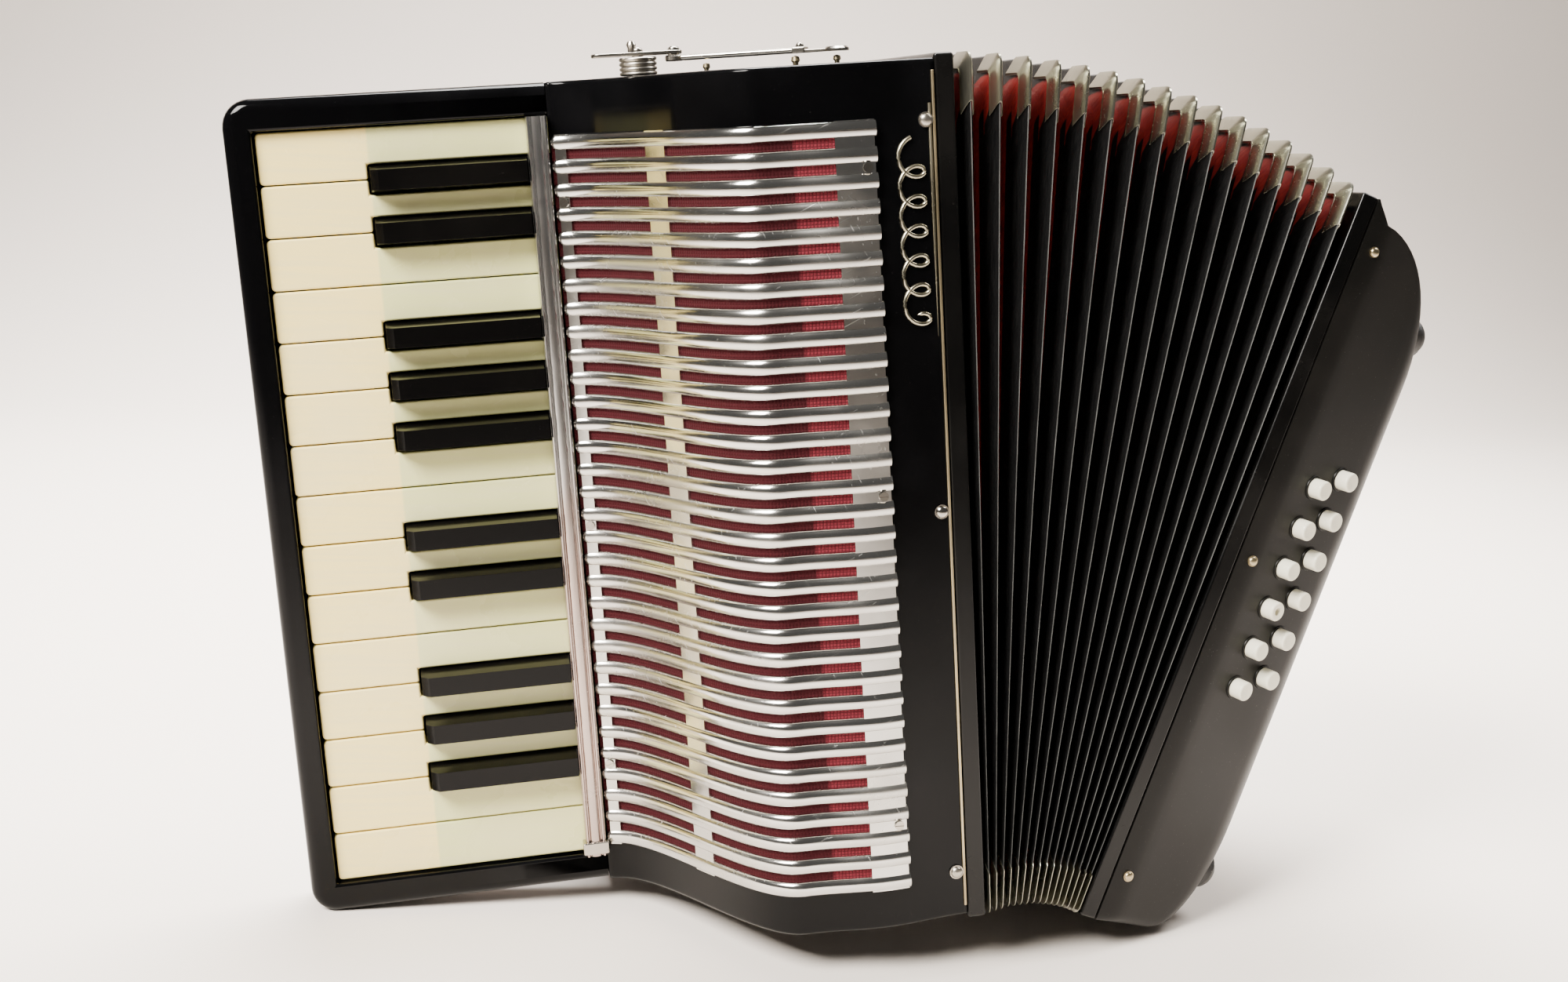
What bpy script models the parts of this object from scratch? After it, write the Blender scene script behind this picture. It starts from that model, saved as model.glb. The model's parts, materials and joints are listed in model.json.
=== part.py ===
"""A small piano accordion standing on its end with its bellows fanned open.

Three frames are used. The treble frame holds the treble side and the keys: X runs along the keys
towards the bellows, Y from front to back and Z up, with its origin at the lower left corner of the
key plane. The bass frame holds the bass side the same way, with its origin at the lower front corner
of the bass bellows frame. The world frame is the treble frame, tilted so that both sides stand on
the floor, with its origin at the bottom centre of the bounding box. Sizes are in metres.
"""

import math

import bmesh
import bpy
import numpy as np
from mathutils import Matrix, Vector

GAP = 0.0003  # between touching pieces

# Keys
WHITE_COUNT = 15
WHITE_PITCH = 0.019
WHITE_LENGTH = 0.0954  # what shows, from the free end to the key rail
KEY_SIDE_GAP = 0.0005
KEY_THICKNESS = 0.009
KEY_TAIL = 0.0135  # from the rail's near edge to the pivot rod
KEY_DIP_SPACE = 0.006
BLACK_LENGTH = 0.0565
BLACK_WIDTH = 0.0096
BLACK_RISE = 0.008
BLACK_SIDE_GAP = 0.0008
WHITES_BELOW_BLACKS = (1, 2, 4, 5, 6, 8, 9, 11, 12, 13)  # white keys above each black key
KEY_CORNER = 0.0012
BLACK_NOSE = 0.0022  # run of the slope at a black key's front end
BLACK_NOSE_END = 0.00484  # where the slope has eased into the top
BLACK_EDGE = 0.0008  # width of a black key's chamfers

# Key rail and pivot rod
RAIL_WIDTH = 0.0066
RAIL_HEIGHT = 0.006
RAIL_LIFT = 0.0012
ROD_RADIUS = 0.0016
RAIL_RIDGE = 0.0012  # depth of the rail's ridges

# Keyboard tray
RIM = 0.010
RIM_TOP = 0.0116
RIM_BOTTOM = 0.0116
RIM_RISE = 0.003  # above the key plane
TRAY_BACK = 0.006
TRAY_CORNER = 0.010
KEY_END_GAP = 0.0008
TRAY_BEVEL = 0.0045

# Treble body
BODY_LEFT = WHITE_LENGTH + RAIL_WIDTH + 0.002
BODY_WIDTH = 0.1257
BODY_RIGHT = BODY_LEFT + BODY_WIDTH
BODY_FRONT = 0.076  # how far the front stands before the key plane
BODY_BACK = 0.069
BODY_WALL = 0.004
BODY_END_WALL = 0.006
BODY_SWEEP = 0.066  # length of the S-shaped rise of the front
FRONT_STEPS = 11
BODY_CROWN = 0.003  # how far the front bulges past that between the sweep and the bellows
BODY_CORNER = 0.008
BODY_BEVEL = 0.004

# Grille
GRILLE_BARS = 32
GRILLE_PITCH = 0.00866
GRILLE_BAR = 0.0046
GRILLE_THICKNESS = 0.0016
GRILLE_RIGHT = BODY_LEFT + 0.1032
GRILLE_CENTRE_Z = 0.1528
# left edges of the three flat columns
GRILLE_COLUMNS = (BODY_LEFT + 0.0005, BODY_LEFT + 0.026, BODY_LEFT + 0.090)
GRILLE_COLUMN_WIDTHS = (0.0045, 0.0055, 0.0135)
GRILLE_WINDOW_EDGE = 0.008  # from the bars' ends to the opening behind them
CLOTH_THICKNESS = 0.0006
CLOTH_INSET = 0.002

# Bellows and its frames
FRAME_THICKNESS = 0.007
FRAME_WIDTH = 0.013
FRAME_CORNER = 0.002
FRAME_LIP = 0.0015  # how far the treble frame stands out above and below the body
FOLDS = 16
CLOSED_GAP = 0.038
FOLD_DEPTH = 0.015
FOLD_CARD = 0.003
FOLD_MARGIN = 0.0002
FOLD_CORNER = 0.0035

# Pose of the bass side against the closed bellows
FAN_DEG = 25.5
YAW_DEG = 7.0
LEAN_DEG = 1.0
# the bass frame's lower front corner, in the treble frame
BASS_CORNER = (BODY_RIGHT + 0.0468, -0.066, -0.0112)

# Bass side
BASS_HEIGHT = 0.2915
BASS_DEPTH = 0.145
BASS_OUTER = 0.066
BASS_WALL = 0.005
BASS_FRONT_FLAT = 0.018
BASS_FRONT_SET = 0.0015
BASS_SLANT_DEG = 20.0
BASS_SHOULDER = 0.0192
BASS_BACK_ROUND = 0.018
BASS_TOP_ROUND = (0.050, 0.050)
BASS_TOP_SLOPE = 0.0075
BASS_BOTTOM_ROUND = (0.030, 0.048)
BASS_BOTTOM_SLOPE = 0.0005

# Bass buttons and air button
BUTTON_ROWS = 6
BUTTON_PITCH = 0.01645
BUTTON_RADIUS = 0.0038
BUTTON_LENGTH = 0.012
BUTTON_OUT = 0.0058
BUTTON_CLEARANCE = 0.0005
BUTTON_COLUMNS = (0.031, 0.044)  # along the slanted front, measured from the frame
BUTTON_TOP = 0.1902
BUTTON_STAGGER = 0.007
AIR_RADIUS = 0.006
AIR_OUT = 0.004
AIR_PLACE = (0.041, 0.205)

# Hand strap
STRAP_WIDTH = 0.052
STRAP_THICKNESS = 0.0028
STRAP_BOW = 0.017
STRAP_ENDS = (0.052, 0.236)
STRAP_CENTRE = 0.090
STRAP_LAP = 0.016
WHEEL_RADIUS = 0.011
WHEEL_WIDTH = 0.007
WHEEL_SUNK = 0.45  # share of its radius inside the slot

# Clasp on the top
CLASP_Y = -0.020
CLASP_X = BODY_LEFT + 0.0325
KNOB_RADIUS = 0.0068
KNOB_HEIGHT = 0.0066
KNOB_RIBS = 4
KNOB_RIB_SHARE = 0.6  # of the ribs' pitch
KNOB_NECK = 0.85  # share of the radius between ribs
LEVER_REACH = (0.0135, 0.0130)  # behind and before the knob's axis
LEVER_WIDTH = 0.006
LEVER_THICKNESS = 0.0014
LINK_LENGTH = 0.0600
LINK_SWING_DEG = -27.0
LINK_EYE = 0.0032
LINK_END = 0.0045
LINK_ROD_RADIUS = 0.0011
LINK_ROD_SPREAD = 0.0034

# Reed blocks and strap brackets
REED_SIDE_CLEARANCE = 0.022
REED_CELLS = 6
REED_CELL_DEPTH = 0.3  # share of the block's depth
REED_CELL_SIZE = (0.7, 0.6)  # shares of the block's width and of the cells' pitch
TREBLE_REEDS_START = (BODY_LEFT + 0.036, -0.030)
BASS_REEDS_LOW = (0.010, 0.030, 0.030)
BASS_REEDS_HIGH = (0.045, 0.150)  # out of the frame and height
BRACKET_WIDTH = 0.030
BRACKET_HEIGHT = 0.022
BRACKET_THICKNESS = 0.003
BRACKET_SLOT = 0.004
BRACKET_CORNERS = (0.004, 0.002)  # outside and inside the loop
BRACKET_INSET = 0.045

# Sizes that follow from the ones above
KEYBOARD = WHITE_COUNT * WHITE_PITCH
KEYS_BOTTOM = RIM_BOTTOM + GAP
HEIGHT = KEYS_BOTTOM + KEYBOARD + GAP + RIM_TOP
KEYS_TOP = KEYS_BOTTOM + KEYBOARD
PIVOT_X = WHITE_LENGTH + KEY_TAIL + ROD_RADIUS + GAP
PIVOT_Y = KEY_THICKNESS / 2
TRAY_DEPTH = KEY_THICKNESS + KEY_DIP_SPACE + TRAY_BACK
FRAME_LEFT = BODY_RIGHT + GAP
FRAME_RIGHT = FRAME_LEFT + FRAME_THICKNESS
FRONT = -BODY_FRONT
BLACK_START = WHITE_LENGTH - BLACK_LENGTH

BLACK_GLOSS = ("black_celluloid", (0.012, 0.012, 0.013), 0.12, 0.0)
SATIN_BLACK = ("bass_black", (0.02, 0.02, 0.019), 0.38, 0.0)
IVORY = ("ivory", (0.82, 0.78, 0.58), 0.3, 0.0)
KEY_BLACK = ("key_black", (0.015, 0.014, 0.014), 0.22, 0.0)
ALUMINIUM = ("grille_metal", (0.78, 0.77, 0.74), 0.25, 1.0)
CHROME = ("chrome", (0.75, 0.74, 0.72), 0.15, 1.0)
STEEL = ("steel", (0.5, 0.5, 0.5), 0.35, 1.0)
RED_CLOTH = ("grille_cloth", (0.16, 0.012, 0.02), 0.85, 0.0)
BELLOWS_CLOTH = ("bellows_cloth", (0.018, 0.017, 0.017), 0.7, 0.0)
FRAME_BLACK = ("frame_black", (0.015, 0.014, 0.014), 0.25, 0.0)
WOOD = ("reed_wood", (0.55, 0.38, 0.2), 0.6, 0.0)
LEATHER = ("strap_leather", (0.03, 0.025, 0.022), 0.55, 0.0)

PART = "piano_accordion"


def new_collection(name):
    """Makes a collection under the scene's own."""
    made = bpy.data.collections.new(name)
    bpy.context.scene.collection.children.link(made)
    return made


def material(finish):
    """Returns the Principled material of a finish, made once."""
    name, colour, roughness, metallic = finish
    found = bpy.data.materials.get(name)
    if found:
        return found
    made = bpy.data.materials.new(name)
    made.use_nodes = True
    shader = made.node_tree.nodes["Principled BSDF"]
    shader.inputs["Base Color"].default_value = (*colour, 1.0)
    shader.inputs["Roughness"].default_value = roughness
    shader.inputs["Metallic"].default_value = metallic
    made.diffuse_color = (*colour, 1.0)
    return made


def add_object(name, mesh, finish, parent=None, matrix=None, smooth=False):
    """Links a mesh as a named part, placed by matrix in its parent's frame."""
    mesh.name = name
    made = bpy.data.objects.new(name, mesh)
    bpy.data.collections[PART].objects.link(made)
    made.parent = parent
    made.matrix_local = matrix or Matrix.Identity(4)
    mesh.materials.clear()
    mesh.materials.append(material(finish))
    if smooth:
        mesh.shade_smooth()
        mesh.set_sharp_from_angle(angle=math.radians(35))
    return made


def outline_mesh(outlines, low, high):
    """Extrudes flat outlines (the first is the rim, the others are holes) from low to high along Z."""
    curve = bpy.data.curves.new("outline", "CURVE")
    curve.dimensions = "2D"
    curve.fill_mode = "BOTH"
    curve.extrude = (high - low) / 2
    for outline in outlines:
        spline = curve.splines.new("POLY")
        spline.points.add(len(outline) - 1)
        for point, (x, y) in zip(spline.points, outline):
            point.co = (x, y, 0.0, 1.0)
        spline.use_cyclic_u = True
    shown = bpy.data.objects.new("outline", curve)
    bpy.context.scene.collection.objects.link(shown)
    bpy.context.view_layer.update()
    graph = bpy.context.evaluated_depsgraph_get()
    mesh = bpy.data.meshes.new_from_object(shown.evaluated_get(graph))
    bpy.data.objects.remove(shown)
    mesh.transform(Matrix.Translation((0, 0, (low + high) / 2)))
    work = bmesh.new()
    work.from_mesh(mesh)
    bmesh.ops.remove_doubles(work, verts=work.verts, dist=1e-6)
    bmesh.ops.recalc_face_normals(work, faces=work.faces)
    work.to_mesh(mesh)
    work.free()
    return mesh


def box_mesh(low, high):
    """A box between two corners."""
    low, high = Vector(low), Vector(high)
    mesh = bpy.data.meshes.new("box")
    work = bmesh.new()
    size = high - low
    place = Matrix.Translation((low + high) / 2) @ Matrix.Diagonal((*size, 1.0))
    bmesh.ops.create_cube(work, size=1.0, matrix=place)
    work.to_mesh(mesh)
    work.free()
    return mesh


def cylinder_mesh(radius, low, high, sides=16):
    """A capped cylinder on the Z axis."""
    mesh = bpy.data.meshes.new("cylinder")
    work = bmesh.new()
    bmesh.ops.create_cone(
        work,
        cap_ends=True,
        segments=sides,
        radius1=radius,
        radius2=radius,
        depth=high - low,
        matrix=Matrix.Translation((0, 0, (low + high) / 2)),
    )
    work.to_mesh(mesh)
    work.free()
    return mesh


def turned_mesh(profile, sides=20):
    """Turns a profile of (radius, height) points, top to bottom, about the Z axis."""
    mesh = bpy.data.meshes.new("turned")
    work = bmesh.new()
    points = [work.verts.new((r, 0, z)) for r, z in profile]
    edges = [work.edges.new(pair) for pair in zip(points, points[1:])]
    bmesh.ops.spin(
        work,
        geom=points + edges,
        cent=(0, 0, 0),
        axis=(0, 0, 1),
        angle=math.tau,
        steps=sides,
        use_duplicate=False,
    )
    bmesh.ops.remove_doubles(work, verts=work.verts, dist=1e-6)
    bmesh.ops.recalc_face_normals(work, faces=work.faces)
    work.to_mesh(mesh)
    work.free()
    return mesh


def moved(mesh, matrix):
    """The same mesh after a transform."""
    mesh.transform(matrix)
    mesh.update()
    return mesh


def cutter(mesh, parent, matrix=None):
    """Makes a hidden object that cuts or joins others, and returns it."""
    made = bpy.data.objects.new("cutter", mesh)
    bpy.data.collections["cutters"].objects.link(made)
    made.parent = parent
    made.matrix_local = matrix or Matrix.Identity(4)
    made.hide_render = True
    made.display_type = "WIRE"
    return made


def boolean(target, tool, operation="DIFFERENCE"):
    """Adds an exact Boolean to target."""
    step = target.modifiers.new(operation.lower(), "BOOLEAN")
    step.operation = operation
    step.solver = "EXACT"
    step.object = tool


def bevel(target, width, segments=2, angle_deg=50):
    """Adds a Bevel on the edges sharper than angle_deg."""
    step = target.modifiers.new("bevel", "BEVEL")
    step.width = width
    step.segments = segments
    step.limit_method = "ANGLE"
    step.angle_limit = math.radians(angle_deg)
    step.use_clamp_overlap = True


def arc(centre, radii, start_deg, end_deg, steps):
    """Points on an elliptic arc, both ends included."""
    points = []
    for i in range(steps + 1):
        angle = math.radians(start_deg + (end_deg - start_deg) * i / steps)
        x = centre[0] + radii[0] * math.cos(angle)
        y = centre[1] + radii[1] * math.sin(angle)
        points.append((x, y))
    return points


def rounded_box(x0, y0, x1, y1, corner, steps=3):
    """A rectangle outline with round corners, anticlockwise."""
    r = (corner, corner)
    points = arc((x1 - corner, y0 + corner), r, -90, 0, steps)
    points += arc((x1 - corner, y1 - corner), r, 0, 90, steps)
    points += arc((x0 + corner, y1 - corner), r, 90, 180, steps)
    points += arc((x0 + corner, y0 + corner), r, 180, 270, steps)
    return points


def offset_outline(points, distance):
    """Moves a closed anticlockwise outline inwards by distance."""
    count = len(points)
    result = []
    for i in range(count):
        before = Vector(points[i - 1])
        here = Vector(points[i])
        after = Vector(points[(i + 1) % count])
        into = (here - before).normalized()
        out = (after - here).normalized()
        inward = Vector((-into.y - out.y, into.x + out.x)).normalized()
        stretch = max(0.4, inward.dot(Vector((-into.y, into.x))))
        moved_point = here + inward * distance / stretch
        result.append((moved_point.x, moved_point.y))
    return result


def front_y(x):
    """The treble body's front surface: it sweeps forward from the keys, then runs to the bellows."""
    share = min(1.0, max(0.0, (x - BODY_LEFT) / BODY_SWEEP))
    rise = share * share * (3 - 2 * share)
    past = (x - BODY_LEFT - BODY_SWEEP) / (BODY_RIGHT - BODY_LEFT - BODY_SWEEP)
    crown = BODY_CROWN * math.sin(math.pi * min(1.0, max(0.0, past))) ** 2
    return -RIM_RISE - rise * (BODY_FRONT - RIM_RISE) - crown


def front_points(x1, lift=0.0):
    """Points along the front surface from the keys to x1, lifted off it along its normal.

    They stand at the same places whatever x1 is, so that layers on the front stay parallel.
    """
    step = BODY_SWEEP / FRONT_STEPS
    stations = [BODY_LEFT + i * step for i in range(int((x1 - BODY_LEFT) / step) + 1)]
    if x1 - stations[-1] < GAP:
        stations.pop()
    points = []
    for x in stations + [x1]:
        slope = (front_y(x + 1e-4) - front_y(x - 1e-4)) / 2e-4
        normal = Vector((slope, -1.0)).normalized()
        points.append((x + normal.x * lift, front_y(x) + normal.y * lift))
    return points


def body_outline():
    """The treble body's plan outline, anticlockwise."""
    points = front_points(BODY_RIGHT)
    points += [(BODY_RIGHT, BODY_BACK)]
    centre = (BODY_LEFT + BODY_CORNER, BODY_BACK - BODY_CORNER)
    points += arc(centre, (BODY_CORNER, BODY_CORNER), 90, 180, 3)
    return points


def make_treble_body(treble):
    """The gloss black box behind the grille, open to the bellows and to the key tails."""
    body = add_object(
        "treble_body", outline_mesh([body_outline()], 0, HEIGHT), BLACK_GLOSS, treble, smooth=True
    )
    bevel(body, BODY_BEVEL)
    inner = offset_outline(body_outline(), BODY_WALL)
    open_side = [(x + 0.02 if x > BODY_RIGHT - 2 * BODY_WALL else x, y) for x, y in inner]
    cavity = outline_mesh([open_side], BODY_END_WALL, HEIGHT - BODY_END_WALL)
    boolean(body, cutter(cavity, treble))
    slot_back = KEY_THICKNESS + KEY_DIP_SPACE
    slot_low = (BODY_LEFT - BODY_WALL, -RAIL_LIFT / 2, KEYS_BOTTOM - GAP)
    slot_high = (BODY_LEFT + 2 * BODY_WALL, slot_back, KEYS_TOP + GAP)
    boolean(body, cutter(box_mesh(slot_low, slot_high), treble))
    half = (GRILLE_BARS - 1) * GRILLE_PITCH / 2
    edge = GRILLE_WINDOW_EDGE
    window_low = (BODY_LEFT + edge, -2 * BODY_FRONT, GRILLE_CENTRE_Z - half + edge)
    window_high = (GRILLE_RIGHT - edge, -RAIL_LIFT / 2, GRILLE_CENTRE_Z + half - edge)
    boolean(body, cutter(box_mesh(window_low, window_high), treble))
    return body


def make_grille(treble):
    """The slatted metal grille with its three flat columns, and the cloth behind it."""
    half = (GRILLE_BARS - 1) * GRILLE_PITCH / 2 + GRILLE_BAR / 2
    low, high = GRILLE_CENTRE_Z - half, GRILLE_CENTRE_Z + half
    cloth_lift = GAP
    plate_lift = cloth_lift + CLOTH_THICKNESS + GAP
    inner = front_points(GRILLE_RIGHT, plate_lift)
    outer = front_points(GRILLE_RIGHT, plate_lift + GRILLE_THICKNESS)
    plate = outline_mesh([outer + inner[::-1]], low, high)
    grille = add_object("treble_grille", plate, ALUMINIUM, treble)
    slots = bmesh.new()
    rights = [x + w for x, w in zip(GRILLE_COLUMNS, GRILLE_COLUMN_WIDTHS)]
    spans = list(zip(rights, GRILLE_COLUMNS[1:]))
    for i in range(GRILLE_BARS - 1):
        z = low + GRILLE_BAR + i * GRILLE_PITCH
        for x0, x1 in spans:
            centre = Vector(((x0 + x1) / 2, -0.045, z + (GRILLE_PITCH - GRILLE_BAR) / 2))
            size = Vector((x1 - x0, 0.12, GRILLE_PITCH - GRILLE_BAR))
            place = Matrix.Translation(centre) @ Matrix.Diagonal((*size, 1.0))
            bmesh.ops.create_cube(slots, size=1.0, matrix=place)
    slot_mesh = bpy.data.meshes.new("slots")
    slots.to_mesh(slot_mesh)
    slots.free()
    boolean(grille, cutter(slot_mesh, treble))
    under = front_points(GRILLE_RIGHT - CLOTH_INSET, cloth_lift)
    over = front_points(GRILLE_RIGHT - CLOTH_INSET, cloth_lift + CLOTH_THICKNESS)
    cloth = outline_mesh([over + under[::-1]], low + CLOTH_INSET, high - CLOTH_INSET)
    add_object("grille_cloth", cloth, RED_CLOTH, treble)


def make_tray(treble):
    """The keyboard tray: a back plate with a rim round the keys' free ends and sides."""
    right = BODY_LEFT - GAP
    left = -KEY_END_GAP - RIM
    corners = arc((left + TRAY_CORNER, TRAY_CORNER), (TRAY_CORNER, TRAY_CORNER), 180, 270, 4)
    outline = corners + [(right, 0.0), (right, HEIGHT)]
    top_centre = (left + TRAY_CORNER, HEIGHT - TRAY_CORNER)
    outline += arc(top_centre, (TRAY_CORNER, TRAY_CORNER), 90, 180, 4)
    mesh = outline_mesh([outline], -TRAY_DEPTH, RIM_RISE)
    tray = add_object("keyboard_tray", moved(mesh, face_forward()), BLACK_GLOSS, treble, smooth=True)
    bevel(tray, TRAY_BEVEL)
    well_low = (-KEY_END_GAP, -0.05, KEYS_BOTTOM - GAP)
    well_high = (right + 0.01, KEY_THICKNESS + KEY_DIP_SPACE, KEYS_TOP + GAP)
    boolean(tray, cutter(box_mesh(well_low, well_high), treble))


def face_forward():
    """Turns a mesh drawn in XY so that its Y becomes Z and its Z faces the front."""
    return Matrix.Rotation(math.radians(90), 4, "X")


def key_bottom(index):
    """Height of the lower edge of white key index, counted from 1 at the top."""
    return KEYS_TOP - index * WHITE_PITCH


def key_matrix(height):
    """Places a key's frame on the pivot axis."""
    return Matrix.Translation((PIVOT_X, PIVOT_Y, height))


def make_white_key(index, treble):
    """A white key, cut back beside its black neighbours, hinged on the pivot rod."""
    side = KEY_SIDE_GAP / 2
    low, high = side, WHITE_PITCH - side
    notch = BLACK_WIDTH / 2 + BLACK_SIDE_GAP
    notch_start = BLACK_START - BLACK_SIDE_GAP
    tail = WHITE_LENGTH + KEY_TAIL
    rear_low = notch if index in WHITES_BELOW_BLACKS else low
    rear_high = WHITE_PITCH - notch if index - 1 in WHITES_BELOW_BLACKS else high
    outline = [(KEY_CORNER, low), (notch_start, low)]
    if rear_low != low:
        outline += [(notch_start, rear_low)]
    outline += [(tail, rear_low), (tail, rear_high)]
    if rear_high != high:
        outline += [(notch_start, rear_high)]
    outline += [(notch_start, high), (KEY_CORNER, high), (0.0, high - KEY_CORNER)]
    outline += [(0.0, low + KEY_CORNER)]
    mesh = moved(outline_mesh([outline], -KEY_THICKNESS, 0.0), face_forward())
    mesh.transform(Matrix.Translation((-PIVOT_X, -PIVOT_Y, 0)))
    matrix = key_matrix(key_bottom(index))
    add_object(f"white_key_{index:02d}", mesh, IVORY, treble, matrix)


def make_black_key(index, white, treble):
    """A black key on the boundary below white key number white, hinged on the pivot rod."""
    tail = WHITE_LENGTH + KEY_TAIL
    raised_end = WHITE_LENGTH - GAP
    side_view = [
        (BLACK_START, KEY_THICKNESS),
        (BLACK_START, BLACK_NOSE - BLACK_RISE / 2),
        (BLACK_START + BLACK_NOSE, BLACK_NOSE - BLACK_RISE),
        (BLACK_START + BLACK_NOSE_END, -BLACK_RISE),
        (raised_end, -BLACK_RISE),
        (raised_end, 0.0),
        (tail, 0.0),
        (tail, KEY_THICKNESS),
    ]
    mesh = outline_mesh([side_view], -BLACK_WIDTH / 2, BLACK_WIDTH / 2)
    mesh.transform(Matrix.Translation((-PIVOT_X, -PIVOT_Y, 0)))
    matrix = key_matrix(key_bottom(white))
    key = add_object(f"black_key_{index:02d}", mesh, KEY_BLACK, treble, matrix)
    bevel(key, BLACK_EDGE, segments=1, angle_deg=60)


def make_rail_and_rod(treble):
    """The ridged rail over the key tails, and the rod the keys turn on."""
    front = -RAIL_LIFT - RAIL_HEIGHT
    x0, x1 = WHITE_LENGTH + GAP, BODY_LEFT - 2 * GAP
    third = (x1 - x0) / 3
    section = [
        (x0, -RAIL_LIFT),
        (x0, front + RAIL_RIDGE),
        (x0 + third / 2, front),
        (x0 + third, front + RAIL_RIDGE),
        (x0 + 2 * third, front + RAIL_RIDGE),
        (x0 + 2.5 * third, front),
        (x1, front + RAIL_RIDGE),
        (x1, -RAIL_LIFT),
    ]
    rail = outline_mesh([section], KEYS_BOTTOM, KEYS_TOP)
    add_object("key_rail", rail, CHROME, treble)
    rod = cylinder_mesh(ROD_RADIUS, BODY_END_WALL + GAP, HEIGHT - BODY_END_WALL - GAP, 12)
    add_object("key_rod", moved(rod, Matrix.Translation((PIVOT_X, PIVOT_Y, 0))), STEEL, treble)


def make_reed_block(name, low, high, parent):
    """A wooden reed block with a row of tapering cells cut in its side."""
    block = add_object(name, box_mesh(low, high), WOOD, parent)
    cells = bmesh.new()
    pitch = (high[2] - low[2]) / REED_CELLS
    depth = (high[1] - low[1]) * REED_CELL_DEPTH
    wide, tall = REED_CELL_SIZE
    for i in range(REED_CELLS):
        centre = Vector(((low[0] + high[0]) / 2, low[1], low[2] + (i + 0.5) * pitch))
        size = Vector(((high[0] - low[0]) * wide, 2 * depth, pitch * tall))
        place = Matrix.Translation(centre) @ Matrix.Diagonal((*size, 1.0))
        bmesh.ops.create_cube(cells, size=1.0, matrix=place)
    mesh = bpy.data.meshes.new("cells")
    cells.to_mesh(mesh)
    cells.free()
    boolean(block, cutter(mesh, parent))


def ring_points(y0, z0, y1, z1, corner):
    """A rounded rectangle in the YZ plane as vectors with x 0."""
    return [Vector((0, y, z)) for y, z in rounded_box(y0, z0, y1, z1, corner, steps=4)]


def frame_mesh(y0, z0, y1, z1, x0, x1):
    """A bellows frame: a flat ring between x0 and x1."""
    outer = rounded_box(y0, z0, y1, z1, FRAME_CORNER)
    hole = (y0 + FRAME_WIDTH, z0 + FRAME_WIDTH, y1 - FRAME_WIDTH, z1 - FRAME_WIDTH)
    inner = [(hole[0], hole[1]), (hole[2], hole[1]), (hole[2], hole[3]), (hole[0], hole[3])]
    mesh = outline_mesh([outer, inner], x0, x1)
    turn = Matrix(((0, 0, 1, 0), (1, 0, 0, 0), (0, 1, 0, 0), (0, 0, 0, 1)))
    return moved(mesh, turn)


def fan_axis():
    """The turn of the bass side from closed to where it rests: its matrix, unit axis and angle."""
    turn = Matrix.Rotation(math.radians(YAW_DEG), 4, "Z")
    turn = turn @ Matrix.Rotation(-math.radians(LEAN_DEG), 4, "X")
    turn = turn @ Matrix.Rotation(math.radians(FAN_DEG), 4, "Y")
    axis, angle = turn.to_quaternion().to_axis_angle()
    return turn, axis, angle


def closed_bass_corner():
    """The bass frame's lower front corner with the bellows closed, in the treble frame.

    The closing move is a plain turn, so its travel has nothing along the axis: that sets Y.
    """
    _, axis, _ = fan_axis()
    rest = Vector(BASS_CORNER)
    x = FRAME_RIGHT + CLOSED_GAP
    z = (HEIGHT - BASS_HEIGHT) / 2
    y = rest.y - ((x - rest.x) * axis.x + (z - rest.z) * axis.z) / axis.y
    return Vector((x, y, z))


def fan_pivot():
    """The point on the fan's axis nearest the bass frame's lower front corner."""
    _, axis, angle = fan_axis()
    closed, rest = closed_bass_corner(), Vector(BASS_CORNER)
    return (closed + rest) / 2 + axis.cross(rest - closed) / (2 * math.tan(angle / 2))


def fanned(share):
    """The matrix that takes a closed fold to its place, for its share of the fan."""
    _, axis, angle = fan_axis()
    pivot = fan_pivot()
    turn = Matrix.Rotation(angle * share, 4, axis)
    return Matrix.Translation(pivot) @ turn @ Matrix.Translation(-pivot)


def bass_matrix():
    """The bass frame's place in the treble frame."""
    return fanned(1.0) @ Matrix.Translation(closed_bass_corner())


def bellows_ring(share, inset):
    """One ring of the bellows, share of the way to the bass side and inset from the frames' edge."""
    corner = closed_bass_corner()
    treble_box = (FRONT, -FRAME_LIP, BODY_BACK, HEIGHT + FRAME_LIP)
    bass_box = (corner.y, corner.z, corner.y + BASS_DEPTH, corner.z + BASS_HEIGHT)
    y0, z0, y1, z1 = (a + (b - a) * share for a, b in zip(treble_box, bass_box))
    edge = FOLD_MARGIN + inset
    points = ring_points(y0 + edge, z0 + edge, y1 - edge, z1 - edge, FOLD_CORNER)
    x = FRAME_RIGHT + GAP + share * (CLOSED_GAP - 2 * GAP)
    place = fanned(share) @ Matrix.Translation((x, 0, 0))
    return [place @ p for p in points]


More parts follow.
